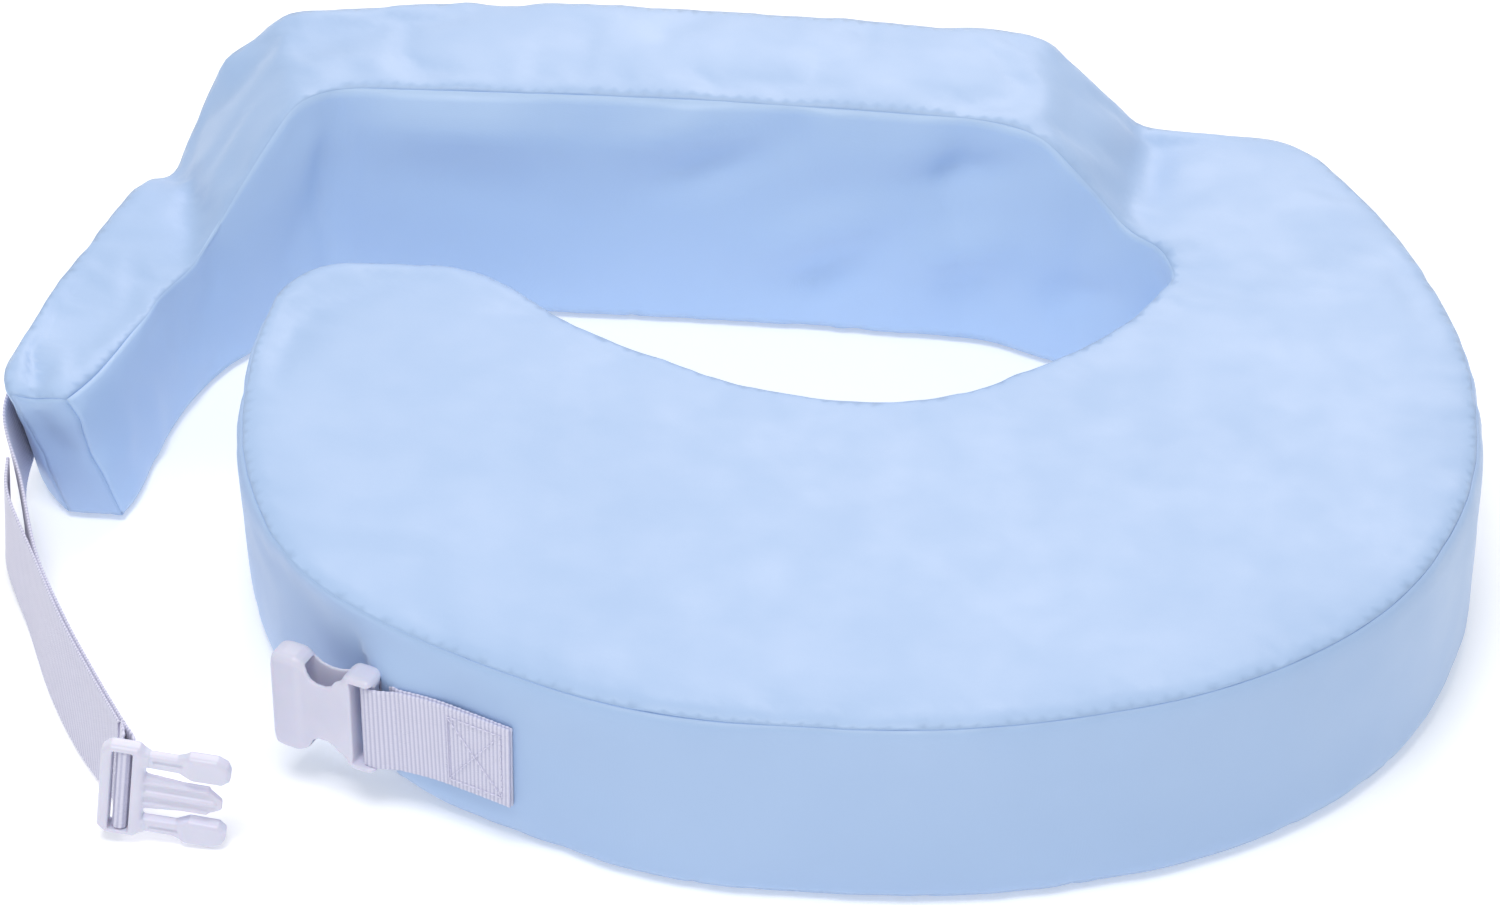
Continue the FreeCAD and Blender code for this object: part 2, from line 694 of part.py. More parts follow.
def make_plug():
    """The buckle's male half: a frame with a bar, a ribbed guide and two prongs."""
    place = plug_place()
    deep, half = size("male_thickness"), size("male_width") / 2
    slot_half = size("strap_slot_width") / 2
    frame = new_body("PlugFrame")
    outline = [(0, -half, 0.12), (0, half, 0.12), (17.0, half, 0.12), (17.0, -half, 0.12)]
    pad_on(frame, rounded_loop(outline), -deep / 2, "Sizes.male_thickness")
    cut_in(frame, rectangle(4.5, -slot_half, 12.0, slot_half), -deep, 2 * deep)
    pad_on(frame, rectangle(7.2, -slot_half - 0.5, 9.8, slot_half + 0.5), -1.3, 2.6)
    guide = [(16.5, -7, 0), (16.5, 7, 0), (38.0, 7, 0.3), (46.5, 3.4, 0.3), (46.5, -3.4, 0.3), (38.0, -7, 0.3)]
    pad_on(frame, rounded_loop(guide), -size("guide_thickness") / 2, "Sizes.guide_thickness")
    pad_on(frame, rectangle(16.5, -1.5, 44.0, 1.5), -size("rib_thickness") / 2, "Sizes.rib_thickness")
    frame.Placement = place
    keep(frame, "male_buckle_frame")
    for side, name in ((1, "upper"), (-1, "lower")):
        prong = new_body("Prong_" + name)
        pad_on(prong, prong_outline(side), -size("prong_thickness") / 2, "Sizes.prong_thickness")
        prong.Placement = place
        keep(prong, "prong_" + name)
    section = [
        (7.05, -8.0), (9.95, -8.0), (11.3, -1.6), (11.3, 1.6), (9.9, 2.9), (7.1, 2.9), (5.7, 1.6), (5.7, -1.6),
    ]
    hole = [(8.5, -5.0), (9.9, -1.6), (9.9, 1.45), (7.1, 1.45), (7.1, -1.6)]
    fold("PlugFold", "male_strap_fold", section, hole, place)


# ---------------------------------------------------------------- build, check and write


def check(obj):
    if "Invalid" in obj.State or "Error" in obj.State:
        raise ValueError("%s did not compute: %s" % (obj.Label, obj.State))


def write_parts():
    os.makedirs("parts", exist_ok=True)
    for obj in DOC.Objects:
        check(obj)
    for label, obj in SUBPARTS.items():
        shape = obj.Shape
        if shape.isNull() or not shape.isValid() or shape.Volume <= 0:
            raise ValueError("%s has no sound shape" % label)
        shape.exportStep("parts/%s.step" % label)


make_cover_panels()
make_core_foam()
make_arm()
make_zip()
make_platform_strap()
make_socket()
make_arm_strap()
make_plug()
DOC.recompute()
write_parts()
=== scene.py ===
"""Looks of the nursing pillow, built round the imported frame. Lengths are in metres, +Z up."""

import math

import bmesh
import bpy
import numpy as np
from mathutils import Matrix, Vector, noise
from mathutils.geometry import delaunay_2d_cdt
from mathutils.kdtree import KDTree


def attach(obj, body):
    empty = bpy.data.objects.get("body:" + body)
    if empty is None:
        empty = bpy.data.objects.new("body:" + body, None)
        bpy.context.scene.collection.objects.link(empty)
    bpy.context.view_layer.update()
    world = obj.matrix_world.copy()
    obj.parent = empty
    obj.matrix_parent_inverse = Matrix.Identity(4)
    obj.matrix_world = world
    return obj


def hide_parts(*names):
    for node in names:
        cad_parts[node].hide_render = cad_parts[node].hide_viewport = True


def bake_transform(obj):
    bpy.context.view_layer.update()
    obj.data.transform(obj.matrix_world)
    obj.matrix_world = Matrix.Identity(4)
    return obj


MM = 0.001
UP = np.array((0, 0, 1.0))
RIB_PITCH = 1.75  # the webbing's ribs, in millimetres
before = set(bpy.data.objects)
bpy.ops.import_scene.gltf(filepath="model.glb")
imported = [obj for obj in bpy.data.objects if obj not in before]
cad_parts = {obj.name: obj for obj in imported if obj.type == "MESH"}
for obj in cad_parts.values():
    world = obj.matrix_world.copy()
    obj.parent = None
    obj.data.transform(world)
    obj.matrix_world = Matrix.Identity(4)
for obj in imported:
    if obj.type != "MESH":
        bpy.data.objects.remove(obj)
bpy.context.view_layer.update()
SCENE = bpy.context.scene

# ---- materials


def new_material(name):
    material = bpy.data.materials.new(name)
    material.use_nodes = True
    tree = material.node_tree
    return material, tree, tree.nodes["Principled BSDF"]


def link(tree, source, output, target, slot):
    tree.links.new(source.outputs[output], target.inputs[slot])


def set_inputs(node, values):
    for socket, value in values.items():
        node.inputs[socket].default_value = value


def object_place(tree):
    """The object's own coordinates, as a node and its output."""
    return tree.nodes.new("ShaderNodeTexCoord"), "Object"


def noise_node(tree, place, scale, detail=3.0):
    node = tree.nodes.new("ShaderNodeTexNoise")
    set_inputs(node, {"Scale": scale, "Detail": detail})
    link(tree, *place, node, "Vector")
    return node


def wave_node(tree, place, scale, direction="X", distortion=0.0):
    node = tree.nodes.new("ShaderNodeTexWave")
    node.bands_direction = direction
    set_inputs(node, {"Scale": scale, "Distortion": distortion})
    link(tree, *place, node, "Vector")
    return node


def bands(pitch_mm):
    """The wave texture's scale for bands this far apart."""
    return 2 * math.pi / (20 * pitch_mm * MM)


def ramp(tree, source, output, low, high, shader, socket, start=0.3, end=0.7):
    """Feeds a socket with a texture's output, mapped from low to high."""
    node = tree.nodes.new("ShaderNodeValToRGB")
    for element, place, colour in zip(node.color_ramp.elements, (start, end), (low, high)):
        element.position = place
        element.color = (*colour, 1)
    link(tree, source, output, node, "Fac")
    link(tree, node, "Color", shader, socket)


def bump_chain(tree, shader, layers):
    """Each layer is a node, its output, a strength and a distance in metres."""
    last = None
    for node, output, strength, distance in layers:
        bump = tree.nodes.new("ShaderNodeBump")
        set_inputs(bump, {"Strength": strength, "Distance": distance})
        link(tree, node, output, bump, "Height")
        if last:
            link(tree, last, "Normal", bump, "Normal")
        last = bump
    link(tree, last, "Normal", shader, "Normal")


def cover_material(name, low, high):
    """Smooth coated cloth: a fine weave, a slight grain, and cloudy colour and shine."""
    material, tree, shader = new_material(name)
    place = object_place(tree)
    ramp(tree, noise_node(tree, place, 9.0, 4.0), "Fac", low, high, shader, "Base Color")
    shine = noise_node(tree, place, 40.0, 2.0)
    ramp(tree, shine, "Fac", (0.44,) * 3, (0.56,) * 3, shader, "Roughness")
    set_inputs(shader, {
        "Sheen Weight": 0.25, "Sheen Roughness": 0.4, "Sheen Tint": (0.86, 0.92, 1.0, 1),
        "Specular IOR Level": 0.6,
    })
    weave = [wave_node(tree, place, 900.0, direction, 1.5) for direction in "XY"]
    bump_chain(tree, shader, [(wave, "Color", 0.10, 0.0001) for wave in weave] + [
        (noise_node(tree, place, 220.0, 2.0), "Fac", 0.12, 0.0003),
        (noise_node(tree, place, 14.0, 2.0), "Fac", 0.04, 0.003),
    ])
    return material


def webbing_material():
    """Ribs across the webbing and threads along it, placed by the "weave" UV map, with painted
    shade darkening the colour in the troughs between the ribs.
    """
    material, tree, shader = new_material("webbing")
    uv_map = tree.nodes.new("ShaderNodeUVMap")
    uv_map.uv_map = "weave"
    place = (uv_map, "UV")
    ribs = wave_node(tree, place, bands(RIB_PITCH), "Y", 0.25)
    threads = wave_node(tree, place, bands(0.9), "X", 1.0)
    fuzz = noise_node(tree, place, 900.0)
    # Painted shade: the base colour follows the ribs, darker in their troughs and lighter on their
    # crests.
    ramp(tree, ribs, "Color", (0.55, 0.547, 0.73), (0.77, 0.755, 0.91),
         shader, "Base Color", 0.0, 0.75)
    set_inputs(shader, {"Roughness": 0.6, "Sheen Weight": 0.3})
    bump_chain(tree, shader, [
        (ribs, "Color", 0.5, 0.0004), (threads, "Color", 0.5, 0.0002), (fuzz, "Fac", 0.25, 0.0002),
    ])
    return material


def tape_material():
    material, tree, shader = new_material("zip_tape")
    weave = wave_node(tree, object_place(tree), 500.0)
    ramp(tree, weave, "Color", (0.40, 0.56, 0.82), (0.47, 0.63, 0.88),
         shader, "Base Color", 0.0, 1.0)
    set_inputs(shader, {"Roughness": 0.7})
    bump_chain(tree, shader, [(weave, "Color", 0.4, 0.0002)])
    return material


def cloudy_material(name, scale, detail, low, high, inputs, bump=None):
    """A slightly uneven colour. bump is a noise scale, a strength and a distance."""
    material, tree, shader = new_material(name)
    place = object_place(tree)
    cloud = noise_node(tree, place, scale, detail)
    ramp(tree, cloud, "Fac", low, high, shader, "Base Color")
    set_inputs(shader, inputs)
    if bump:
        grain = cloud if bump[0] == scale else noise_node(tree, place, bump[0], 2.0)
        bump_chain(tree, shader, [(grain, "Fac", *bump[1:])])
    return material


MATERIALS = {
    "cover_fabric": cover_material("cover_fabric", (0.395, 0.550, 0.815), (0.425, 0.580, 0.845)),
    "webbing": webbing_material(),
    "zip_tape": tape_material(),
    "thread": cloudy_material(
        "thread", 2500.0, 2.0, (0.69, 0.68, 0.84), (0.80, 0.785, 0.92),
        {"Roughness": 0.55}, (2500.0, 0.4, 0.0002)),
    "buckle_plastic": cloudy_material(
        "buckle_plastic", 60.0, 2.0, (0.70, 0.698, 0.832), (0.735, 0.73, 0.862),
        {"Roughness": 0.38, "Subsurface Weight": 0.15, "Subsurface Scale": 0.003,
         "Coat Weight": 0.15, "Coat Roughness": 0.3}, (1500.0, 0.06, 0.0001)),
    "zip_coil": cloudy_material(
        "zip_coil", 300.0, 2.0, (0.52, 0.66, 0.88), (0.58, 0.71, 0.92),
        {"Roughness": 0.35}, (300.0, 0.1, 0.0001)),
    "zip_metal": cloudy_material(
        "zip_metal", 120.0, 3.0, (0.60, 0.70, 0.88), (0.66, 0.75, 0.92),
        {"Metallic": 0.2, "Roughness": 0.3, "Coat Weight": 0.4}, (900.0, 0.08, 0.0001)),
}
# The inner side of the cover gets a paler, bluer copy of the same cloth: painted light that
# brightens the inner wall beyond what the lamps give it.
INNER_FABRIC_PAINTED_LIGHT = cover_material("cover_fabric_inner_painted_light", (0.47, 0.635, 0.895), (0.50, 0.665, 0.925))

# ---- small helpers


def add_object(name, data):
    piece = bpy.data.objects.new(name, data)
    SCENE.collection.objects.link(piece)
    return piece


def evaluated(piece):
    """The piece with its modifiers applied."""
    return piece.evaluated_get(bpy.context.evaluated_depsgraph_get())


def read_vectors(rows, key):
    values = np.zeros(len(rows) * 3, np.float32)
    rows.foreach_get(key, values)
    return values.reshape(-1, 3).astype(float)


def coords_of(mesh):
    return read_vectors(mesh.vertices, "co")


def vertex_normals(mesh):
    return read_vectors(mesh.vertex_normals, "vector")


def set_coords(mesh, coords):
    mesh.vertices.foreach_set("co", np.asarray(coords, np.float32).ravel())
    mesh.update()


def unit(vector):
    return vector / np.linalg.norm(vector)


def unit_rows(rows):
    return rows / np.linalg.norm(rows, axis=1)[:, None]


def lengths_along(points):
    """The distance from the start to each point of a line."""
    return np.concatenate([[0], np.cumsum(np.linalg.norm(np.diff(points, axis=0), axis=1))])


def gauss(distance, width):
    return np.exp(-(distance / width) ** 2)


def tube_faces(rings):
    """The side faces and end faces of a tube through rings of vertex numbers."""
    sides = len(rings[0])
    faces = []
    for a, b in zip(rings[:-1], rings[1:]):
        for m in range(sides):
            k = (m + 1) % sides
            faces.append((a[m], a[k], b[k], b[m]))
    return faces + [tuple(rings[0][::-1]), tuple(rings[-1])]


def mesh_object(name, slot, verts, faces):
    mesh = bpy.data.meshes.new(name)
    mesh.from_pydata([tuple(v) for v in verts], [], [tuple(f) for f in faces])
    mesh.validate()
    mesh.polygons.foreach_set("use_smooth", [True] * len(mesh.polygons))
    piece = add_object(name, mesh)
    mesh.materials.append(MATERIALS[slot])
    return piece


# ---- the pillow's outline

# Corners in millimetres: bottom x, y, top x, y, and the share of the shorter neighbouring
# side that the corner's arc takes up. They run from the arm's outer tip round to its inner tip.
CORNERS = [
    (-271, -19, -291, -20, 0), (-281, -8, -296.5, -8, 0.45), (-285.5, 12, -296, 12, 0.45),
    (-282, 62, -287.5, 62, 0.45), (-275, 102, -276, 102, 0.45), (-257, 186, -257, 186, 0.42),
    (-120, 217, -120, 217, 0.25), (94, 217, 94, 217, 0.3), (148, 194, 148, 194, 0.4),
    (221, 190, 221, 190, 0.25), (263, 127, 263, 127, 0.48), (293, 47, 293, 47, 0.48),
    (299, -44, 299, -44, 0.48), (269, -128, 269, -128, 0.48), (208, -184, 208, -184, 0.48),
    (112, -220, 112, -220, 0.48), (-10, -221, -10, -223, 0.48), (-88, -181, -92, -190, 0.48),
    (-147, -144, -154, -150, 0.46), (-184, -75, -187, -76, 0.48), (-193, 2, -193, 2, 0.48),
    (-186, 55, -186, 55, 0.48), (-110, 60, -110, 60, 0.42), (-66, 20, -66, 20, 0.45),
    (16, -17, 16, -17, 0.45), (84, -17, 84, -17, 0.45), (154, 42, 154, 42, 0.45),
    (178, 96, 178, 96, 0.3), (130, 128, 130, 128, 0.4), (92, 144.5, 92, 144.5, 0.4),
    (-40, 147, -40, 147, 0.45), (-184, 139, -184, 139, 0.3), (-213, 107, -213, 107, 0.4),
    (-231, 79, -231.5, 79, 0.45), (-238.5, 50, -245, 52, 0.45), (-243, 16, -253, 16, 0.45),
    (-244.5, -4, -259, -5, 0.45), (-248, -19, -267, -21, 0),
]
STEP = 6.5  # spacing of the cover's vertices along its outline
ROWS = 12  # rows of faces down its sides
PANELS = ("top", "bottom", "outer", "inner", "end")
BAND_SEAM = (-140.0, 57.6)  # where the outer and inner side bands meet, in the hollow
SEAM_LIFT = 3.0  # height of the lower seam above the resting surface


def rounded(points, counts=None):
    """Samples of a closed outline of x, y, share, with the number used for each arc and side."""
    arcs = []
    for i, (x, y, share) in enumerate(points):
        corner = np.array((x, y), float)
        before = np.array(points[i - 1][:2], float) - corner
        after = np.array(points[(i + 1) % len(points)][:2], float) - corner
        reach = share * min(np.linalg.norm(before), np.linalg.norm(after))
        before, after = unit(before), unit(after)
        if not share:
            arcs.append((corner, corner, None, 0, 0, 0))
            continue
        turn = math.pi - math.acos(float(np.clip(before @ after, -1, 1)))
        radius = reach / math.tan(turn / 2)
        middle = unit(before + after)
        centre = corner + middle * radius / math.cos(turn / 2)
        start, end = corner + before * reach, corner + after * reach
        first = math.atan2(*(start - centre)[::-1])
        last = math.atan2(*(end - centre)[::-1])
        sweep = (last - first + math.pi) % (2 * math.pi) - math.pi
        arcs.append((start, end, centre, radius, first, sweep))
    samples, used = [], []
    for i, (start, end, centre, radius, first, sweep) in enumerate(arcs):
        side = arcs[(i + 1) % len(arcs)][0] - end
        if counts:
            arc_count, side_count = counts[i]
        else:
            arc_count = max(2, round(radius * abs(sweep) / STEP)) if centre is not None else 0
            side_count = max(1, round(np.linalg.norm(side) / STEP))
        used.append((arc_count, side_count))
        if centre is None:
            samples.append(start)
        else:
            for j in range(arc_count + 1):
                angle = first + sweep * j / arc_count
                samples.append(centre + radius * np.array((math.cos(angle), math.sin(angle))))
        samples += [end + side * j / side_count for j in range(1, side_count)]
    return np.array(samples), used


def soft_ramp(distance, run, radius=5.0):
    """0 before the slope, 1 after it, with rounded folds."""

    def area(s):
        s = np.asarray(s, float)
        return np.where(s < 0, 0, np.where(s < run, s * s / (2 * run), s - run / 2))

    return (area(distance + radius) - area(distance - radius)) / (2 * radius)


PLATFORM_TOP, BACKREST_TOP, ARM_TOP = 84.0, 115.0, 64.5  # heights in millimetres


def top_height(x, y):
    """Height of the top panel's seam surface in millimetres."""
    x, y = np.asarray(x, float), np.asarray(y, float)
    downhill = (x + 206) * -0.970 + (y - 157) * -0.242
    arm = ARM_TOP - 2.5 * np.clip((100 - y) / 60, 0, 1)
    left = BACKREST_TOP + (arm - BACKREST_TOP) * soft_ramp(downhill, 46.0)
    right = BACKREST_TOP + (PLATFORM_TOP - BACKREST_TOP) * soft_ramp(x - 114, 39.0)
    # The foot of the left slope dips, and the cloth above it bulges.
    left -= 11.0 * np.exp(-((x + 263) ** 2 + (y - 160) ** 2) / 18.0 ** 2)
    left += 9.0 * np.exp(-((x + 241) ** 2 + (y - 187) ** 2) / 11.0 ** 2)
    raised = (y > 95) | (x < -205)
    return np.where(raised, np.minimum(left, right), PLATFORM_TOP)


def outline_gap(x, y, points):
    """Signed distance to a closed outline, negative inside."""
    gap = np.full(x.shape, 1e9)
    within = np.zeros(x.shape, bool)
    for (ax, ay), (bx, by) in zip(points, points[1:] + points[:1]):
        ex, ey = bx - ax, by - ay
        share = np.clip(((x - ax) * ex + (y - ay) * ey) / (ex * ex + ey * ey), 0, 1)
        gap = np.minimum(gap, np.hypot(x - ax - share * ex, y - ay - share * ey))
        if ay != by:
            within ^= ((ay > y) != (by > y)) & (x < ex * (y - ay) / ey + ax)
    return np.where(within, -gap, gap)


def fill_panel(bm, border, outline, step, height):
    """A flat grid of faces inside the border's vertices."""
    low, high = outline.min(0), outline.max(0)
    grid = np.array([
        (x, y) for x in np.arange(low[0], high[0], step) for y in np.arange(low[1], high[1], step)
    ])
    gap = outline_gap(grid[:, 0], grid[:, 1], [tuple(p) for p in outline])
    grid = grid[gap < -0.6 * step]
    points = [Vector(p) for p in np.vstack([outline, grid])]
    count = len(outline)
    found = delaunay_2d_cdt(points, [], [list(range(count))], 1, 1e-5)
    coords, triangles, origins = found[0], found[2], found[3]
    verts = []
    heights = height(np.array([c.x for c in coords]), np.array([c.y for c in coords]))
    for i, c in enumerate(coords):
        source = origins[i][0] if origins[i] else None
        if source is not None and source < count:
            verts.append(border[source])
        else:
            verts.append(bm.verts.new((c.x, c.y, heights[i])))
    faces = []
    for triangle in triangles:
        corners = [verts[i] for i in triangle]
        if len(set(corners)) == 3:
            faces.append(bm.faces.new(corners))
    return faces


def build_cover():
    """The closed cover in millimetres, with a panel number on each face."""
    top, counts = rounded([(c[2], c[3], c[4]) for c in CORNERS])
    bottom, _ = rounded([(c[0], c[1], c[4]) for c in CORNERS], counts)
    total = len(top)
    end_start = total - counts[-1][1]
    seam = int(np.argmin(np.linalg.norm(top - np.array(BAND_SEAM), axis=1)))
    heights = top_height(top[:, 0], top[:, 1])
    bm = bmesh.new()
    layer = bm.faces.layers.int.new("panel")
    grid = []
    for share in np.linspace(0, 1, ROWS + 1):
        plan = top + (bottom - top) * share
        z = heights + (SEAM_LIFT - heights) * share
        grid.append([bm.verts.new((*xy, height)) for xy, height in zip(plan, z)])
    for row in range(ROWS):
        for i in range(total):
            j = (i + 1) % total
            face = bm.faces.new((grid[row][i], grid[row + 1][i], grid[row + 1][j], grid[row][j]))
            panel = "end" if i >= end_start else ("outer" if i < seam else "inner")
            face[layer] = PANELS.index(panel)
    for ring, outline, step, height, panel in (
        (grid[0], top, STEP, top_height, "top"),
        (grid[-1], bottom, STEP * 1.5, lambda x, y: np.zeros(len(x)), "bottom"),
    ):
        faces = fill_panel(bm, ring, outline, step, height)
        for face in faces:
            face[layer] = PANELS.index(panel)
        bmesh.ops.join_triangles(
            bm, faces=faces,
            angle_face_threshold=math.radians(20), angle_shape_threshold=math.radians(30),
        )
    bmesh.ops.recalc_face_normals(bm, faces=bm.faces)
    mesh = bpy.data.meshes.new("cover_base")
    bm.to_mesh(mesh)
    bm.free()
    return mesh


def panel_numbers(mesh):
    values = np.zeros(len(mesh.polygons), np.int32)
    mesh.attributes["panel"].data.foreach_get("value", values)
    return values


def seam_vertices(mesh):
    """Vertices that touch more than one panel."""
    numbers = panel_numbers(mesh)
    seen = [set() for _ in mesh.vertices]
    for polygon in mesh.polygons:
        for vertex in polygon.vertices:
            seen[vertex].add(int(numbers[polygon.index]))
    return [i for i, s in enumerate(seen) if len(s) > 1]


def box_mask(coords, low, high, soft):
    """1 inside a box, falling to 0 over the soft distance outside it."""
    beyond = np.maximum(np.maximum(np.array(low) - coords, coords - np.array(high)), 0)
    return np.clip(1 - np.linalg.norm(beyond, axis=1) / soft, 0, 1)


SIM_FRAMES = 20


def inflate(mesh, cap):
    """Swells the panels between their pinned seams with a cloth simulation, by at most cap."""
    rest = coords_of(mesh)
    piece = add_object("cover_sim", mesh)
    pins = piece.vertex_groups.new(name="pins")
    pins.add(seam_vertices(mesh), 1.0, "REPLACE")
    cloth = piece.modifiers.new("Cloth", "CLOTH")
    for key, value in {
        "quality": 6, "mass": 0.3, "tension_stiffness": 25, "compression_stiffness": 10,
        "shear_stiffness": 10, "bending_stiffness": 0.6, "use_pressure": True,
        "uniform_pressure_force": 4, "shrink_min": -0.012, "vertex_group_mass": "pins",
    }.items():
        setattr(cloth.settings, key, value)
    cloth.settings.effector_weights.gravity = 0
    cloth.collision_settings.use_collision = False
    cloth.point_cache.frame_start = 1
    cloth.point_cache.frame_end = SIM_FRAMES + 4
    for number in range(1, SIM_FRAMES + 1):
        SCENE.frame_set(number)
    moved = coords_of(evaluated(piece).data) - rest
    SCENE.frame_set(1)
    bpy.data.objects.remove(piece)
    length = np.linalg.norm(moved, axis=1)
    limit = cap * np.tanh(length / cap) / np.maximum(length, 1e-9)
    return moved * limit[:, None]


def subdivided(mesh):
    """One subdivision with the seams kept sharp."""
    numbers = panel_numbers(mesh)
    sides = {}
    for polygon in mesh.polygons:
        for key in polygon.edge_keys:
            sides.setdefault(key, set()).add(int(numbers[polygon.index]))
    crease = mesh.attributes.new("crease_edge", "FLOAT", "EDGE")
    sharp = [float(len(sides[tuple(sorted(e.vertices))]) > 1) for e in mesh.edges]
    crease.data.foreach_set("value", sharp)
    piece = add_object("cover_fine", mesh)
    smooth = piece.modifiers.new("Subdivision", "SUBSURF")
    smooth.levels = smooth.render_levels = 1
    fine = bpy.data.meshes.new_from_object(evaluated(piece))
    bpy.data.objects.remove(piece)
    return fine


def segment_gap(coords, a, b):
    """Distance to a segment, and the share along it."""
    a, b = np.array(a, float), np.array(b, float)
    run = b - a
    share = np.clip((coords - a) @ run / (run @ run), 0, 1)
    return np.linalg.norm(coords - a - share[:, None] * run, axis=1), share


# Folds in the cloth in millimetres: two ends, half width, and height (negative for a hollow).
FOLDS = [
    ((-168, 146, 99), (-96, 147, 97), 11, 8.0),
    ((-172, 147, 74), (-100, 147, 70), 12, -5.0),
    ((-52, 147, 70), (10, 147, 97), 10, -9.0),
    ((-60, 147, 94), (-22, 147, 107), 9, 5.0),
    ((-10, 147, 42), (52, 147, 70), 11, 8.0),
    ((4, 147, 22), (52, 147, 44), 10, -7.0),
    ((56, 146, 80), (112, 140, 99), 10, -8.0),
    ((52, 147, 42), (112, 141, 62), 12, 8.5),
    ((120, 134, 30), (150, 112, 54), 11, -6.0),
    ((172, 84, 66), (148, 40, 22), 14, -3.4),
    ((-178, 140, 90), (-206, 116, 34), 15, -4.2),
    ((-222, 92, 60), (-236, 58, 22), 14, -2.6),
    ((-185, 146, 94), (118, 138, 94), 13, 2.2),
    ((-160, 147, 60), (-50, 147, 58), 14, -2.5),
    ((-201, 160, 108), (-238, 128, 76), 6, -1.6),
    ((-214, 150, 104), (-232, 112, 74), 5, 1.2),
    ((-262, 156, 56), (-224, 92, 74), 6, -2.2),
    ((-258, 136, 62), (-230, 100, 72), 5, 1.0),
    ((122, 205, 112), (126, 150, 108), 9, -1.6),
    ((146, 196, 88), (128, 138, 96), 8, 1.3),
    ((150, 200, 84), (168, 120, 84), 9, -1.6),
    ((-281, -22, 62), (-283, 14, 63), 4.5, -2.6),
    ((-272, -20, 62), (-276, 10, 63), 5.5, 1.6),
    ((-290, -16, 62), (-289, 8, 63), 5.0, 1.5),
    ((-282, -20, 56), (-276, -20, 36), 6, -2.4),
    ((-262, -20, 40), (-284, -20, 30), 6, -1.8),
    ((-268, -20, 56), (-264, -20, 46), 5, 1.2),
    ((232, -150, 70), (250, -120, 20), 16, -2.0),
    ((284, -20, 72), (290, 30, 24), 18, -1.8),
    ((-60, -208, 66), (0, -222, 24), 14, -1.8),
    ((60, -222, 70), (130, -212, 30), 16, -1.6),
    ((-160, -130, 66), (-176, -80, 26), 12, -1.8),
]
# Places where the thread pulls the seams in: the place, the move there, and the width.
PINCHES = [
    ((-283, -20, 62), (0.5, 2.2, -2.6), 6),
    ((-256, -20, 34), (-1.6, 1.2, 0), 5),
    ((-263, -20, 52), (1.2, 0, 0.8), 6),
    ((-224, 95, 80), (-0.6, 1.0, -1.6), 8),
    ((-244, 40, 64), (1.8, 0, 0.6), 10),
    ((-262, 160, 54), (2.0, -0.5, 0), 9),
    ((-120, 217, 115), (0, -1.5, -1.2), 16),
    ((60, 217, 115), (0, -1.0, -1.0), 18),
    ((178, 96, 84), (-1.5, -1.5, -1.8), 12),
]
WEBBING_WIDTH = 38.0
WEBBING_THICK = 1.4
# Boxes in millimetres, as lowest and highest corners. The cover stays flat behind the female
# buckle and round the zip.
SOCKET_ROOM = ((-162, -205, 8), (-104, -140, 74))
ZIP_SWELL_ROOM = ((-90, 205, 18), (80, 230, 50))
ZIP_FOLD_ROOM = ((-86, 205, 22), (76, 225, 47))
ZIP_FLAT = ((-84, 210, 24), (74, 230, 44))
BACK_Y = 216.9  # the flat back wall round the zip
# The zip's opening in millimetres: lowest and highest x, lowest and highest z.
SLOT = (-80.0, 70.0, 30.5, 37.5)
# Centre lines of the webbing in millimetres: x, y, z and lean in degrees.
PLATFORM_STRAP = [
    (-59.8, -204.9, 40.5, 0), (-76.4, -197.7, 40.5, 0), (-92.0, -191.2, 40.5, 0),
    (-107.1, -186.8, 40.5, 0),
]
ARM_STRAP = [(-287.1, 50, 31, -5.9), (-291.6, 12, 31, -9.2)]
LOOSE_STRAP = [
    (-292.9, 7.6, 31, -9), (-293.2, -8, 30.5, -10), (-290.2, -24, 28.5, -7), (-281.5, -50, 25, -1),
    (-268, -94, 21, 6), (-250, -132, 20, 10), (-231, -166, 20.5, 11), (-208.6, -202.5, 24.5, 6),
]
TAIL = [(-289.2, -37, 25.5, 3), (-284.6, -60, 23.8, 4)] + LOOSE_STRAP[4:]


def seat(coords, stations, gap, reach, outward):
    """Pulls the cover to lie just under a sewn-on strap."""
    for a, b in zip(stations[:-1], stations[1:]):
        run = np.array(b[:2]) - np.array(a[:2])
        length = np.linalg.norm(run)
        run = run / length
        face = np.array((run[1], -run[0])) * outward
        rel = coords[:, :2] - np.array(a[:2])
        along, off = rel @ run, rel @ face
        lean = math.tan(math.radians(a[3])) * outward
        middle = (a[2] + b[2]) / 2
        target = -gap + lean * -(coords[:, 2] - middle)
        past = np.maximum(np.maximum(-along, along - length), 0)
        high = np.maximum(np.abs(coords[:, 2] - middle) - WEBBING_WIDTH / 2, 0)
        weight = gauss(np.hypot(past, high), reach) * (np.abs(off) < 14)
        coords[:, :2] += face[None] * ((target - off) * weight)[:, None]


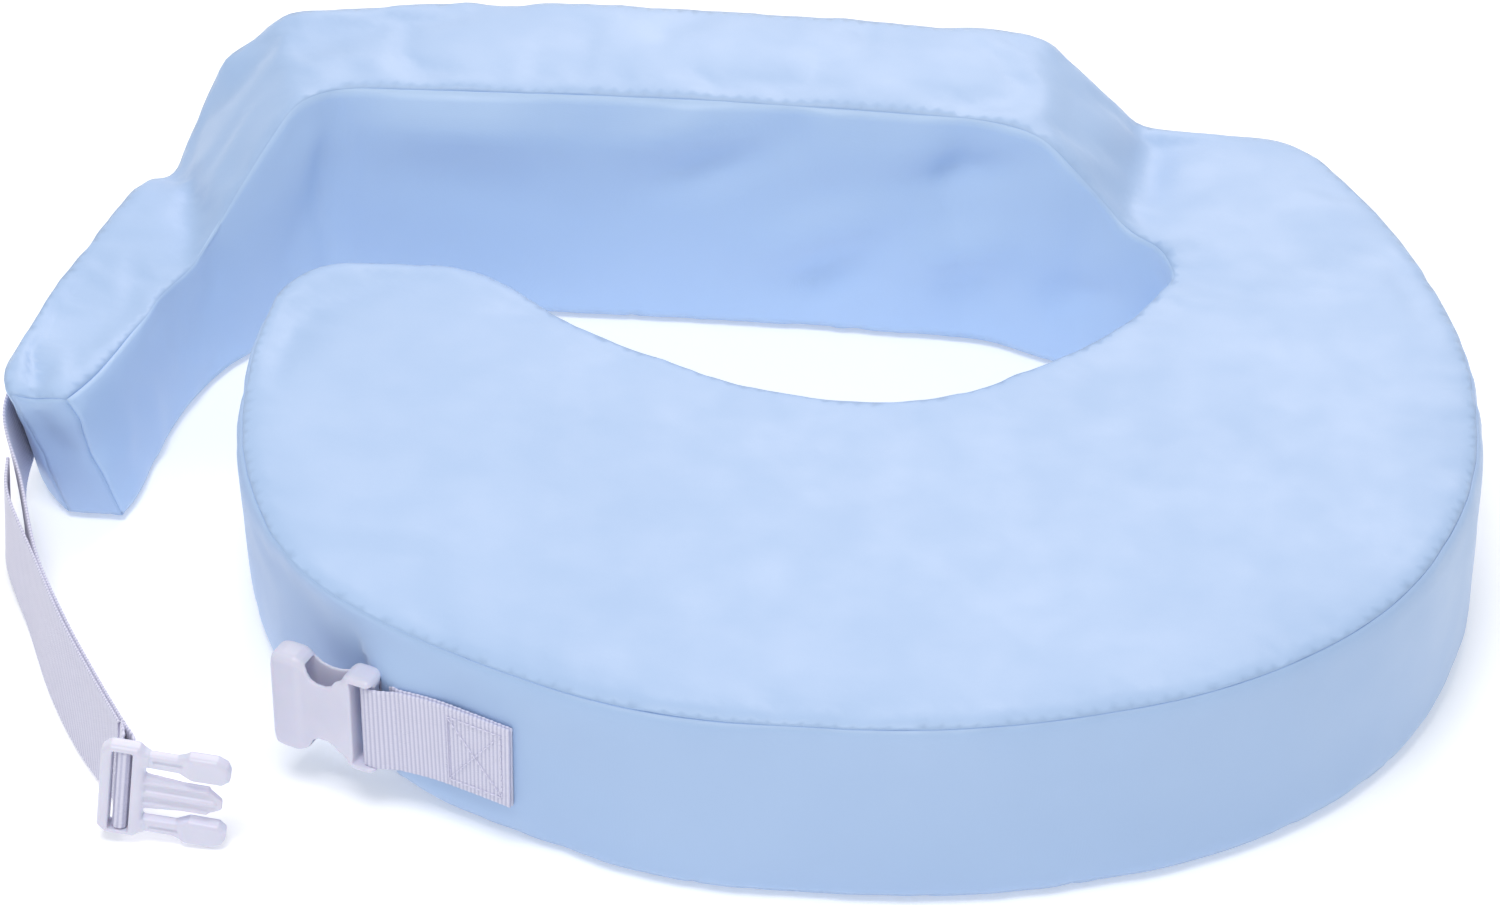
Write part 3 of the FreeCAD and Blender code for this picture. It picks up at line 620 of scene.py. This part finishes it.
def shape_cloth(mesh):
    """Puckers along the seams, the folds, and a gentle unevenness, on the fine mesh."""
    coords, normals = coords_of(mesh) / MM, vertex_normals(mesh)
    seams = seam_vertices(mesh)
    tree = KDTree(len(seams))
    for i, vertex in enumerate(seams):
        tree.insert(coords[vertex], i)
    tree.balance()
    rise = np.zeros(len(coords))
    for i, point in enumerate(coords):
        near = tree.find_n(point, 4)
        weights = [1 / (d * d + 6) for _, _, d in near]
        place = sum((c * w for (c, _, _), w in zip(near, weights)), Vector()) / sum(weights)
        gap = near[0][2]
        pucker = noise.noise(place * 0.085) + 0.35 * noise.noise(place * 0.16 + Vector((9, 3, 1)))
        rise[i] += 0.6 * pucker * math.exp(-((gap / 11) ** 2))
        rise[i] += 0.35 * (math.exp(-(((gap - 5) / 3.5) ** 2)) - math.exp(-((gap / 1.5) ** 2)))
        broad = noise.noise(Vector(point) * 0.021 + Vector((4, 7, 2)))
        fine = noise.noise(Vector(point) * 0.06 + Vector((1, 5, 8)))
        rise[i] += (0.7 * broad + 0.12 * fine) * min(1, gap / 14)
    on_floor = (normals[:, 2] < -0.7) & (coords[:, 2] < 6)
    rise[on_floor] *= 0.15
    for a, b, width, height in FOLDS:
        gap, share = segment_gap(coords, a, b)
        rise += height * gauss(gap, width) * (0.35 + 0.65 * np.sin(math.pi * share))
    rise *= 1 - 0.9 * box_mask(coords, *ZIP_FOLD_ROOM, 10)
    room = box_mask(coords, *SOCKET_ROOM, 14)
    rise = rise * (1 - room) - 0.9 * room
    coords += normals * rise[:, None]
    for place, move, width in PINCHES:
        coords += gauss(np.linalg.norm(coords - place, axis=1), width)[:, None] * np.array(move)
    seat(coords, PLATFORM_STRAP, 1.6, 14, -1)
    seat(coords, ARM_STRAP, 0.95, 12, 1)
    flat = box_mask(coords, *ZIP_FLAT, 12)
    coords[:, 1] += (BACK_Y - coords[:, 1]) * flat * (coords[:, 1] > 205)
    # The underside rests on the floor: below 0.3 mm it is pressed nearly flat.
    coords[:, 2] = np.where(coords[:, 2] < 0.3, 0.3 + 0.1 * (coords[:, 2] - 0.3), coords[:, 2])
    coords[:, 2] = np.maximum(coords[:, 2], 0.05)
    set_coords(mesh, coords * MM)


def cut_slot(bm):
    """Opens the zip's slot in the back of the outer band."""
    x0, x1, z0, z1 = (v * MM for v in SLOT)

    def faces_near(margin):
        for face in bm.faces:
            c = face.calc_center_median()
            across = x0 - margin < c.x < x1 + margin and z0 - margin < c.z < z1 + margin
            if across and c.y > 0.205:
                yield face

    for place, normal in (
        ((x0, 0, 0), (1, 0, 0)), ((x1, 0, 0), (1, 0, 0)),
        ((0, 0, z0), (0, 0, 1)), ((0, 0, z1), (0, 0, 1)),
    ):
        faces = list(faces_near(0.012))
        parts = dict.fromkeys(part for face in faces for part in (*face.edges, *face.verts))
        bmesh.ops.bisect_plane(
            bm, geom=[*faces, *parts], dist=1e-6, plane_co=place, plane_no=normal,
        )
    bmesh.ops.delete(bm, geom=list(faces_near(0)), context="FACES")


# A panel stops this far from the seam's middle, and turns in: depth, distance from the middle.
LIP_GAP = 0.34
LIPS = ((0.45, 0.22), (1.0, 0.02))


def panel_with_lips(source, number):
    """One panel of the cover, with its edges turned into the seam."""
    bm = bmesh.new()
    bm.from_mesh(source)
    layer = bm.faces.layers.int["panel"]
    if PANELS[number] == "outer":
        cut_slot(bm)
    bmesh.ops.delete(bm, geom=[f for f in bm.faces if f[layer] != number], context="FACES")
    bm.normal_update()
    open_edges = [e for e in bm.edges if e.is_boundary]
    rim = [(e.link_loops[0].link_loop_next.vert, e.link_loops[0].vert) for e in open_edges]
    inward, normal = {}, {}
    for vertex in {v: None for e in open_edges for v in e.verts}:
        out = vertex.normal.copy()
        pull = Vector()
        for edge in vertex.link_edges:
            if edge.is_boundary:
                along = (edge.other_vert(vertex).co - vertex.co).normalized()
                face = edge.link_faces[0]
                across = face.calc_center_median() - vertex.co
                across -= along * across.dot(along)
                pull += across.normalized()
        pull -= out * pull.dot(out)
        inward[vertex], normal[vertex] = pull.normalized(), out
    previous = {v: v for v in inward}
    origin = {v: v.co.copy() for v in inward}
    for v in inward:
        v.co = origin[v] + inward[v] * LIP_GAP * MM
    for depth, aside in LIPS:
        ring = {
            v: bm.verts.new(origin[v] + inward[v] * aside * MM - normal[v] * depth * MM)
            for v in inward
        }
        for a, b in rim:
            bm.faces.new((previous[a], previous[b], ring[b], ring[a]))[layer] = number
        previous = ring
    bm.normal_update()
    mesh = bpy.data.meshes.new("panel")
    bm.to_mesh(mesh)
    bm.free()
    return mesh


def take_faces(source, keep, name, slot, uvs=None):
    """A piece from some of a mesh's faces, shaded as the whole mesh is."""
    normals, coords = vertex_normals(source), coords_of(source)
    faces = [tuple(p.vertices) for p in source.polygons if keep[p.index]]
    used = sorted({i for face in faces for i in face})
    index = {old: new for new, old in enumerate(used)}
    piece = mesh_object(name, slot, coords[used], [[index[i] for i in face] for face in faces])
    piece.data.normals_split_custom_set_from_vertices([tuple(normals[i]) for i in used])
    if uvs is not None:
        layer = piece.data.uv_layers.new(name="weave")
        for loop in piece.data.loops:
            layer.data[loop.index].uv = uvs[used[loop.vertex_index]]
    return piece


# The line across which the arm bends.
FLEX_START, FLEX_END = (-0.2414, 0.1120, 0.04), (-0.2646, 0.0680, 0.04)
# For each panel: its piece's name, and the CAD nodes that its two parts stand for.
COVER_PIECES = {
    "top": ("cover_top", ["cover_top_panel"], ["arm_top_panel", "foam_backrest", "foam_arm"]),
    "bottom": ("cover_bottom", ["cover_bottom_panel", "foam_slab"], ["arm_bottom_panel"]),
    "outer": ("cover_outer_side", ["cover_outer_band"], ["arm_outer_band"]),
    "inner": ("cover_inner_side", ["cover_inner_band"], ["arm_inner_band"]),
}
# The most that the cloth simulation may move the sides, and the flat panels, in metres.
SIDE_SWELL = 0.0052
FLAT_SWELL = {"top": 0.0028, "bottom": 0.0006}


def make_cover():
    base = build_cover()
    rest = coords_of(base) * MM
    set_coords(base, rest)
    numbers = panel_numbers(base)
    cap = np.full(len(rest), SIDE_SWELL)
    for polygon in base.polygons:
        panel = PANELS[numbers[polygon.index]]
        if panel in FLAT_SWELL:
            cap[list(polygon.vertices)] = FLAT_SWELL[panel]
    arm = (rest[:, 0] < -0.232) & (rest[:, 1] < 0.09)
    cap[arm] *= 0.6
    cap *= 1 - 0.93 * box_mask(rest / MM, *ZIP_SWELL_ROOM, 25)
    cap *= 1 - 0.9 * box_mask(rest / MM, *SOCKET_ROOM, 18)
    set_coords(base, rest + inflate(base.copy(), cap))
    fine = subdivided(base)
    shape_cloth(fine)
    for number, panel in enumerate(PANELS):
        mesh = panel_with_lips(fine, number)
        if panel == "end":
            tip = take_faces(mesh, panel_numbers(mesh) >= 0, "arm_end_cap", "cover_fabric")
            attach(tip, "arm")
            made = [(tip, ["arm_end_panel"])]
        else:
            name, main_nodes, side_nodes = COVER_PIECES[panel]
            x, y, _ = read_vectors(mesh.polygons, "center").T
            left = ((x < -0.15) & (y > 0.075)) | (x < -0.215)
            main = take_faces(mesh, ~left, name, "cover_fabric")
            side = take_faces(mesh, left, name + "_arm", "cover_fabric")
            if panel == "inner":
                # The inner band takes the paler copy of the cloth, painted light for the inner
                # wall.
                main.data.materials[0] = side.data.materials[0] = INNER_FABRIC_PAINTED_LIGHT
            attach(main, "pillow")
            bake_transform(side)
            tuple(FLEX_START)
            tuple(FLEX_END)
            made = [(main, main_nodes), (side, side_nodes)]
        for piece, nodes in made:
            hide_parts(*nodes)


# ---- webbing

RIB_HEIGHT = 0.34
EDGE_RADIUS = 0.75
ACROSS = 14  # vertices across each face of the webbing
WEB_STEP = RIB_PITCH / 4  # spacing of vertices along it
HALF_LAYER = 0.78  # half the distance between two layers that lie on each other


def smooth_path(points, step):
    """Points along a Catmull-Rom curve through the given rows, at an even spacing."""
    rows = np.array(points, float)
    padded = np.vstack([2 * rows[0] - rows[1], rows, 2 * rows[-1] - rows[-2]])
    dense = []
    for i in range(1, len(padded) - 2):
        p0, p1, p2, p3 = padded[i - 1:i + 3]
        for t in np.linspace(0, 1, 40, endpoint=False):
            dense.append(0.5 * (
                2 * p1 + (p2 - p0) * t + (2 * p0 - 5 * p1 + 4 * p2 - p3) * t * t
                + (3 * p1 - p0 - 3 * p2 + p3) * t ** 3
            ))
    dense.append(rows[-1])
    dense = np.array(dense)
    length = lengths_along(dense[:, :3])
    even = np.linspace(0, length[-1], max(2, round(length[-1] / step)) + 1)
    return np.stack([np.interp(even, length, dense[:, k]) for k in range(dense.shape[1])], 1)


def ribbon(middles, ups):
    """Ribbed webbing along a middle line in millimetres, with ups across its width.

    Gives the mesh, the row along the webbing that each face is in, and each vertex's UV."""
    runs = unit_rows(np.gradient(middles, axis=0))
    ups = unit_rows(ups - runs * (ups * runs).sum(1)[:, None])
    half = WEBBING_WIDTH / 2
    flat = half - EDGE_RADIUS
    across = np.linspace(-1, 1, ACROSS) * flat
    roll = 0.22 * gauss(np.abs(across) - (half - 1.6), 1.1)
    turn = np.radians((-60, -20, 20, 60))
    section = [(s, 1, r) for s, r in zip(across, roll)]
    section += [(flat + EDGE_RADIUS * math.cos(t), -math.sin(t), 0.1) for t in turn]
    section += [(s, -1, r) for s, r in zip(across[::-1], roll[::-1])]
    section += [(-flat - EDGE_RADIUS * math.cos(t), math.sin(t), 0.1) for t in turn]
    verts, uvs = [], []
    for middle, up, face, at in zip(middles, ups, np.cross(runs, ups), lengths_along(middles)):
        rib = 0.5 - 0.5 * math.cos(2 * math.pi * at / RIB_PITCH)
        edge = 1 + 0.004 * math.sin(2 * math.pi * at / (RIB_PITCH * 2))
        for s, side, extra in section:
            out = side * (WEBBING_THICK / 2 - RIB_HEIGHT * (1 - rib) + extra * 0.9)
            verts.append(middle + up * s * edge + face * out)
            uvs.append((s * MM, at * MM))
    ring, count = len(section), len(middles)
    faces = tube_faces([range(i * ring, (i + 1) * ring) for i in range(count)])
    mesh = bpy.data.meshes.new("ribbon")
    mesh.from_pydata([tuple(v * MM) for v in verts], [], faces)
    mesh.update()
    rows = np.array([i for i in range(count - 1) for _ in range(ring)] + [0, count - 2])
    return mesh, rows, np.array(uvs)


def leaning(row):
    """The across direction of a strap that stands on its edge: rows of x, y, z, lean."""
    runs = unit_rows(np.gradient(row[:, :2], axis=0))
    right = np.stack([runs[:, 1], -runs[:, 0], np.zeros(len(runs))], 1)
    lean = np.radians(row[:, 3])[:, None]
    return UP * np.cos(lean) - right * np.sin(lean), right


PLUG_X = np.array((0.99255, 0, -0.12187))
PLUG_Y = np.array((0.12187, 0, 0.99255))
PLUG_Z = np.array((0, -1.0, 0))
PLUG_ORIGIN = np.array((-207, -214.5, 26.0)) - 8.5 * PLUG_X


def make_arm_webbing():
    """One webbing from the arm, round the plug's bar and back, split where the strap bends."""
    leg, tail = smooth_path(ARM_STRAP + LOOSE_STRAP, WEB_STEP), smooth_path(TAIL, WEB_STEP)
    leg_up, leg_right = leaning(leg)
    tail_up, tail_right = leaning(tail)
    part = np.clip((12 - leg[:, 1]) / 60, 0, 1)[:, None]  # the layers part towards the arm
    leg_middle = leg[:, :3] - leg_right * HALF_LAYER * part
    tail_middle = tail[:, :3] + tail_right * HALF_LAYER
    loop = [
        (10.6, -6.5), (10.9, -1.5), (10.3, 1.5), (8.5, 2.35), (6.7, 1.5), (6.1, -1.5), (6.4, -6.5),
    ]
    bends = [PLUG_ORIGIN + PLUG_X * x + PLUG_Z * z for x, z in loop]
    turn = smooth_path([leg_middle[-8], *bends, tail_middle[-8]], WEB_STEP)
    middles = np.vstack([leg_middle[:-8], turn, tail_middle[:-8][::-1]])
    ups = np.vstack([leg_up[:-8], np.repeat(PLUG_Y[None], len(turn), 0), tail_up[:-8][::-1]])
    ups = np.array([ups[max(0, i - 14):i + 15].mean(0) for i in range(len(ups))])
    mesh, rows, uvs = ribbon(middles, ups)
    cut = int(np.argmin(np.abs(leg_middle[:-8, 1] + 100)))
    upper = take_faces(mesh, rows < cut, "arm_strap_webbing", "webbing", uvs)
    lower = take_faces(mesh, rows >= cut, "plug_strap_webbing", "webbing", uvs)
    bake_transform(upper)
    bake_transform(lower)
    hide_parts("arm_strap_sewn_end", "loose_strap")
    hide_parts("male_strap_fold", "loose_strap_tail")


SOCKET_X = unit(np.array((-0.937, 0.349, 0)))
SOCKET_Z = unit(np.array((0.349, 0.937, 0)))
SOCKET_END = np.array((-113.2, -184.5, 40.5))


def make_socket_webbing():
    """The doubled webbing on the platform, round the socket's bar."""
    patch = smooth_path(PLATFORM_STRAP, WEB_STEP)
    _, right = leaning(patch)
    outside = right if right[0][1] < 0 else -right
    outer = patch[:, :3] + outside * 0.72
    inner = patch[:, :3] - outside * 0.72
    loop = [(-0.5, -3.3), (4.6, -3.35), (5.9, 0), (4.6, 3.35), (-0.5, 3.3)]
    bends = [SOCKET_END + SOCKET_X * x + SOCKET_Z * z for x, z in loop]
    turn = smooth_path([outer[-6], *bends, inner[-6]], WEB_STEP)
    middles = np.vstack([outer[:-6], turn, inner[:-6][::-1]])
    middles[:, 2] += 0.25 * np.sin(np.arange(len(middles)) * WEB_STEP / 13.0)
    ups = np.repeat(UP[None], len(middles), 0)
    mesh, rows, uvs = ribbon(middles, ups)
    piece = take_faces(mesh, rows >= 0, "socket_strap_webbing", "webbing", uvs)
    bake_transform(piece)
    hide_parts("platform_strap", "female_strap_fold")


STITCH_PITCH = 2.9
STITCH_RADIUS = 0.26


def stitches(name, points, outs, body, node=None):
    """A row of thread stitches along a line, each a short arched strand lying on the cloth."""
    length = lengths_along(points)

    def at_length(rows, at):
        return np.array([np.interp(at, length, rows[:, c]) for c in range(3)])

    verts, faces = [], []
    for n in range(int(length[-1] / STITCH_PITCH)):
        rings = []
        for k in range(7):
            at = (n + 0.12) * STITCH_PITCH + 0.76 * STITCH_PITCH * k / 6
            centre, out = at_length(points, at), at_length(outs, at)
            ahead = at_length(points, at + 0.1) - centre
            side = np.cross(ahead / max(np.linalg.norm(ahead), 1e-9), out)
            arch = math.sin(math.pi * k / 6)
            lift, size = 0.30 * arch - 0.12, STITCH_RADIUS * (0.6 + 0.4 * arch)
            rings.append(range(len(verts), len(verts) + 6))
            for m in range(6):
                angle = 2 * math.pi * m / 6
                aside = side * size * math.sin(angle)
                verts.append((centre + out * (lift + size * math.cos(angle)) + aside) * MM)
        faces += tube_faces(rings)
    piece = mesh_object(name, "thread", verts, faces)
    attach(piece, body)
    if node:
        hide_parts(node)


BOX_X = (3.5, 27, 27, 3.5, 3.5, 27, 27, 3.5)  # along the strap: round the box, then its cross


def sew_box(name, body, node, stations, lean, height, lift, low, high):
    """A sewn box with a cross, from low to high on a strap whose middle is at height."""
    a, b = np.array(stations[0][:2]), np.array(stations[-1][:2])
    run = unit(b - a)
    right = np.array((run[1], -run[0], 0))
    right = right if right.sum() < 0 else -right  # away from the pillow, whose centre is 0, 0
    lean = math.radians(lean)
    up = UP * math.cos(lean) - right * math.sin(lean)
    face = right * math.cos(lean) + UP * math.sin(lean)
    corners = [(x, z) for x, z in zip(BOX_X, (low, low, high, high, low, high, low, high))]
    line = []
    for (u0, z0), (u1, z1) in zip(corners[:-1], corners[1:]):
        for t in np.linspace(0, 1, 24, endpoint=False):
            foot = np.array((*(a + run * (u0 + (u1 - u0) * t)), height))
            line.append(foot + up * (z0 + (z1 - z0) * t - height) + face * lift)
    stitches(name, np.array(line), np.repeat(face[None], len(line), 0), body, node)


def make_sewing():
    sew_box("platform_strap_thread", "pillow", "platform_strap_stitching",
            PLATFORM_STRAP[:3], 0, 40.5, 1.55, 25.5, 55.5)
    sew_box("arm_strap_thread", "arm", "arm_strap_stitching", ARM_STRAP, -6.5, 31.0, 0.8, 16, 46)


# ---- buckles


def smooth_min(a, b, k):
    mix = np.clip(0.5 + 0.5 * (b - a) / k, 0, 1)
    return b * (1 - mix) + a * mix - k * mix * (1 - mix)


def joined(*parts, k=1.0):
    total = parts[0]
    for part in parts[1:]:
        total = smooth_min(total, part, k)
    return total


def cut_by(solid, *tools, k=0.7):
    for tool in tools:
        solid = -smooth_min(-solid, tool, k)
    return solid


def slab(p, points, low, high, r):
    """An outline extruded along z, with edges of radius r."""
    flat = outline_gap(p[0], p[1], points) + r
    deep = np.abs(p[2] - (low + high) / 2) - (high - low) / 2 + r
    outside = np.hypot(np.maximum(flat, 0), np.maximum(deep, 0))
    return np.minimum(np.maximum(flat, deep), 0) + outside - r


def block(p, low, high, r):
    """A box with edges of radius r."""
    gaps = [np.abs(v - (a + b) / 2) - (b - a) / 2 + r for v, a, b in zip(p, low, high)]
    outside = np.sqrt(sum(np.maximum(g, 0) ** 2 for g in gaps))
    return outside + np.minimum(np.maximum.reduce(gaps), 0) - r


def skin(solid, low, high, cell):
    """The surface of a solid given as a signed distance: vertices and quads, in its own axes."""
    axes = [np.arange(a - 2 * cell, b + 2.5 * cell, cell) for a, b in zip(low, high)]
    value = solid(np.meshgrid(*axes, indexing="ij"))
    shape = np.array(value.shape) - 1
    total, count = np.zeros((*shape, 3)), np.zeros(shape)

    def corner(at):
        return value[tuple(slice(o, o + n) for o, n in zip(at, shape))]

    for axis in range(3):
        first, second = [k for k in range(3) if k != axis]
        for u, v in ((0, 0), (0, 1), (1, 0), (1, 1)):
            at = [0, 0, 0]
            at[first], at[second] = u, v
            ahead = list(at)
            ahead[axis] = 1
            here, there = corner(at), corner(ahead)
            crossing = (here < 0) != (there < 0)
            share = np.where(crossing, here / np.where(crossing, here - there, 1), 0)
            place = np.zeros((*shape, 3)) + np.array(at, float)
            place[..., axis] += share
            total += place * crossing[..., None]
            count += crossing
    active = count > 0
    number = np.full(shape, -1)
    number[active] = np.arange(active.sum())
    index = np.argwhere(active)
    verts = (index + total[active] / count[active][:, None]) * cell + np.array([a[0] for a in axes])
    quads = []
    inner = corner((0, 0, 0)) < 0
    for axis in range(3):
        ahead, offsets = [0, 0, 0], np.zeros((4, 3), int)
        ahead[axis] = 1
        offsets[:, (axis + 1) % 3] = (0, -1, -1, 0)
        offsets[:, (axis + 2) % 3] = (0, 0, -1, -1)
        change = inner != (corner(ahead) < 0)
        cells = np.argwhere(change)[:, None] + offsets
        around = number[tuple(cells.transpose(2, 0, 1))]
        outward = inner[change]
        around[~outward] = around[~outward][:, ::-1]
        quads += around.tolist()
    return verts, quads


def plastic_piece(name, node, body, surface, origin, axes):
    verts, quads = surface
    placed = (np.array(origin) + verts @ np.array(axes)) * MM
    piece = mesh_object(name, "buckle_plastic", placed, quads)
    soften = piece.modifiers.new("Soften", "SMOOTH")
    soften.factor, soften.iterations = 0.5, 2
    mesh = bpy.data.meshes.new_from_object(evaluated(piece))
    piece.modifiers.clear()
    piece.data = mesh
    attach(piece, body)
    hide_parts(node)


def mirrored(points):
    return [(x, -y) for x, y in points[::-1]]


SOCKET_SIDE = [
    (0.2, 19.6), (1.6, 21.4), (4, 21.9), (9.5, 21.8), (12, 20.6), (14.8, 18.2), (18, 17.1),
    (22, 16.8), (26, 17.7), (28.8, 19.7), (31, 21.3), (34, 22.1), (39.5, 22.0), (42.6, 20.2),
    (44, 16),
]


SOCKET_WINDOW = [
    (16, 30), (16, 17.5), (17.6, 14.6), (20.2, 13.3), (24, 13.3), (26.6, 14.6), (28.2, 17.5),
    (28.2, 30),
]
FRAME_OUTLINE = [
    (0, -18.5), (3.2, -21.6), (14.4, -21.6), (17, -19), (17, 19), (14.4, 21.6), (3.2, 21.6),
    (0, 18.5),
]
GUIDE_OUTLINE = [
    (15, -8.6), (30, -6.9), (43.5, -5.0), (47, -2.8), (47, 1.4), (43, 4.9), (30, 6.9), (15, 8.6),
]
PRONG = [
    (16.2, 12.6), (16.2, 18.9), (29, 19.0), (33.3, 20.9), (44, 21), (47.8, 19.2), (49, 16.6),
    (49, 12.6), (46.5, 10.4), (35, 10.2), (31, 12.4),
]


def socket_solid(p):
    outline = mirrored(SOCKET_SIDE) + SOCKET_SIDE
    x, y, z = p
    y = y - 0.5
    p = (x, y, z)
    side = (x, np.abs(y), z)
    shell = slab(p, outline, -5.3, 5.3, 2.5)
    mouth = block(p, (31.5, -22, -6), (44, 22, 6), 3.0)
    shoulder = block(side, (0.4, 17.6, -6), (11.5, 21.9, 6), 2.1)
    shell = joined(shell, mouth, shoulder, k=2.4)
    cavity = block(p, (11.5, -19.7, -3.5), (50, 19.7, 3.5), 1.0)
    window = slab(side, SOCKET_WINDOW, -12, 0, 0.4)
    slot = block(p, (5.3, -19.7, -12), (9.4, 19.7, 12), 0.8)
    over = block((x, y, np.abs(z)), (-4, -19.7, 2.4), (5.4, 19.7, 12), 0.5)
    return cut_by(shell, cavity, window, slot, over, k=0.9)


def frame_solid(p):
    x, y, z = p
    side = (x, np.abs(y), z)
    ring = slab(p, FRAME_OUTLINE, -4, 4, 2.6)
    ring = cut_by(ring, block(p, (4.3, -19.4, -9), (12.2, 19.4, 9), 0.8), k=0.9)
    bar = block(p, (7.2, -20.5, -1.3), (9.8, 20.5, 1.3), 0.9)
    plate = slab(p, GUIDE_OUTLINE, -1.2, 1.2, 0.7)
    ribs = block(side, (15, 4.4, -2.2), (42, 5.7, 2.2), 0.6)
    spine = block(p, (15, -1.1, -2.5), (44.5, 1.1, 2.5), 0.7)
    root = block(side, (14.5, 12.8, -3.0), (19.0, 19.2, 3.0), 1.6)
    return joined(joined(ring, plate, spine, ribs, root, k=1.0), bar, k=0.6)


def upper_solid(p):
    neck = slab(p, PRONG, -2.5, 2.5, 1.5)
    head = slab(p, [q for q in PRONG if q[0] > 30], -3.3, 3.3, 1.8)
    groove = block(p, (20, 15.4, 1.7), (31, 17.0, 6), 0.5)
    return cut_by(joined(neck, head, k=1.2), groove, k=0.6)


def lower_solid(p):
    return upper_solid((p[0], -p[1], p[2]))


def make_buckles():
    socket = (SOCKET_END, (SOCKET_X, UP, SOCKET_Z))
    plug = (PLUG_ORIGIN, (PLUG_X, PLUG_Y, PLUG_Z))
    for name, node, body, solid, low, high, place, cell in (
        ("socket_buckle", "female_buckle", "socket", socket_solid,
         (-1, -24, -7), (45, 24, 7), socket, 0.5),
        ("plug_buckle", "male_buckle_frame", "plug", frame_solid,
         (-1, -23, -5), (48, 23, 5), plug, 0.5),
        ("plug_prong_upper", "prong_upper", "upper_prong", upper_solid,
         (15, 10, -4), (50, 22, 4), plug, 0.4),
        ("plug_prong_lower", "prong_lower", "lower_prong", lower_solid,
         (15, -22, -4), (50, -10, 4), plug, 0.4),
    ):
        plastic_piece(name, node, body, skin(solid, low, high, cell), *place)


# ---- zip


COIL_X = (-78.0, 68.0)
COIL_PITCH, COIL_WIRE = 1.3, 0.32
COIL_DEPTH, COIL_HEIGHT = 0.5, 0.95  # half the helix's size in y and z
COIL_Y = 216.52


def coil(name, node, z, side):
    """A zip's coil: a flattened helix of monofilament along the tape's edge."""
    around, turn = 10, 0.63  # points in one turn, and the angle between them in radians
    verts, rings = [], []
    for i in range(int((COIL_X[1] - COIL_X[0]) / COIL_PITCH * around) + 1):
        angle = 2 * math.pi * i / around
        sine, cosine = COIL_DEPTH * math.sin(angle), COIL_HEIGHT * math.cos(angle) * side
        centre = np.array((COIL_X[0] + COIL_PITCH * i / around, COIL_Y + sine, z + cosine))
        ahead = unit(np.array((
            COIL_PITCH / around,
            COIL_DEPTH * math.cos(angle) * turn, -COIL_HEIGHT * math.sin(angle) * side * turn,
        )))
        u = unit(np.cross(ahead, (1.0, 0, 0)))
        v = np.cross(ahead, u)
        rings.append(range(len(verts), len(verts) + 5))
        for m in range(5):
            t = 2 * math.pi * m / 5
            verts.append((centre + (u * math.cos(t) + v * math.sin(t)) * COIL_WIRE) * MM)
    piece = mesh_object(name, "zip_coil", verts, tube_faces(rings))
    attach(piece, "pillow")
    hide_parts(node)


def make_zip():
    coil("zip_coil_row_upper", "zip_coil_upper", 35.35, -1)
    coil("zip_coil_row_lower", "zip_coil_lower", 32.65, 1)
    for name, z in (("zip_thread_lower", 26.8), ("zip_thread_upper", 41.2)):
        line = np.array([(x, 217.05, z) for x in np.linspace(-84, 74, 60)])
        outs = np.repeat(np.array([[0, 1.0, 0]]), len(line), 0)
        stitches(name, line, outs, "pillow")


def finish_nodes():
    """Materials for the CAD nodes that stay."""
    for node in ("zip_tape_upper", "zip_tape_lower", "zip_stops", "zip_slider", "zip_pull"):
        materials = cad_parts[node].data.materials
        materials.clear()
        materials.append(MATERIALS["zip_tape" if "tape" in node else "zip_metal"])


# ---- stage

CAMERA_PLACE = (0.2008, -1.7498, 1.3449)
CAMERA_TARGET = (0.0013, 0.0568, 0.0)
LENS_MM = 130.3


def aim(piece, place, target):
    piece.location = place
    turn = (Vector(target) - Vector(place)).to_track_quat("-Z", "Y")
    piece.rotation_euler = turn.to_euler()


def area_light(name, place, size, watts, colour):
    light = bpy.data.lights.new(name, "AREA")
    light.shape = "SQUARE"
    light.size, light.energy, light.color = size, watts, colour
    aim(add_object(name, light), place, (0.0, 0.0, 0.05))


def make_stage():
    mesh = bpy.data.meshes.new("floor")
    bm = bmesh.new()
    bmesh.ops.create_grid(bm, x_segments=24, y_segments=24, size=6.0)
    bm.to_mesh(mesh)
    bm.free()
    floor = add_object("floor", mesh)
    mesh.materials.append(cloudy_material(
        "floor", 3.0, 2.0, (0.90, 0.90, 0.905), (0.92, 0.92, 0.925),
        {"Roughness": 0.9, "Specular IOR Level": 0.1, "Emission Color": (1, 1, 1, 1),
         "Emission Strength": 0.26}))
    floor.location.z = -0.0002
    SCENE.world = bpy.data.worlds.new("studio")
    SCENE.world.use_nodes = True
    set_inputs(SCENE.world.node_tree.nodes["Background"], {
        "Color": (0.93, 0.97, 1.0, 1), "Strength": 0.54,
    })
    area_light("key", (-0.25, -0.9, 2.4), 0.9, 27, (1.0, 0.985, 0.97))
    area_light("back", (0.1, 2.6, 1.95), 1.7, 40, (1.0, 0.90, 0.86))
    camera = bpy.data.cameras.new("camera")
    camera.lens, camera.sensor_width = LENS_MM, 36.0
    camera.clip_start, camera.clip_end = 0.05, 50.0
    SCENE.camera = add_object("camera", camera)
    aim(SCENE.camera, CAMERA_PLACE, CAMERA_TARGET)
    SCENE.view_settings.view_transform = "Standard"


make_stage()
make_cover()
make_arm_webbing()
make_socket_webbing()
make_sewing()
make_buckles()
make_zip()
finish_nodes()
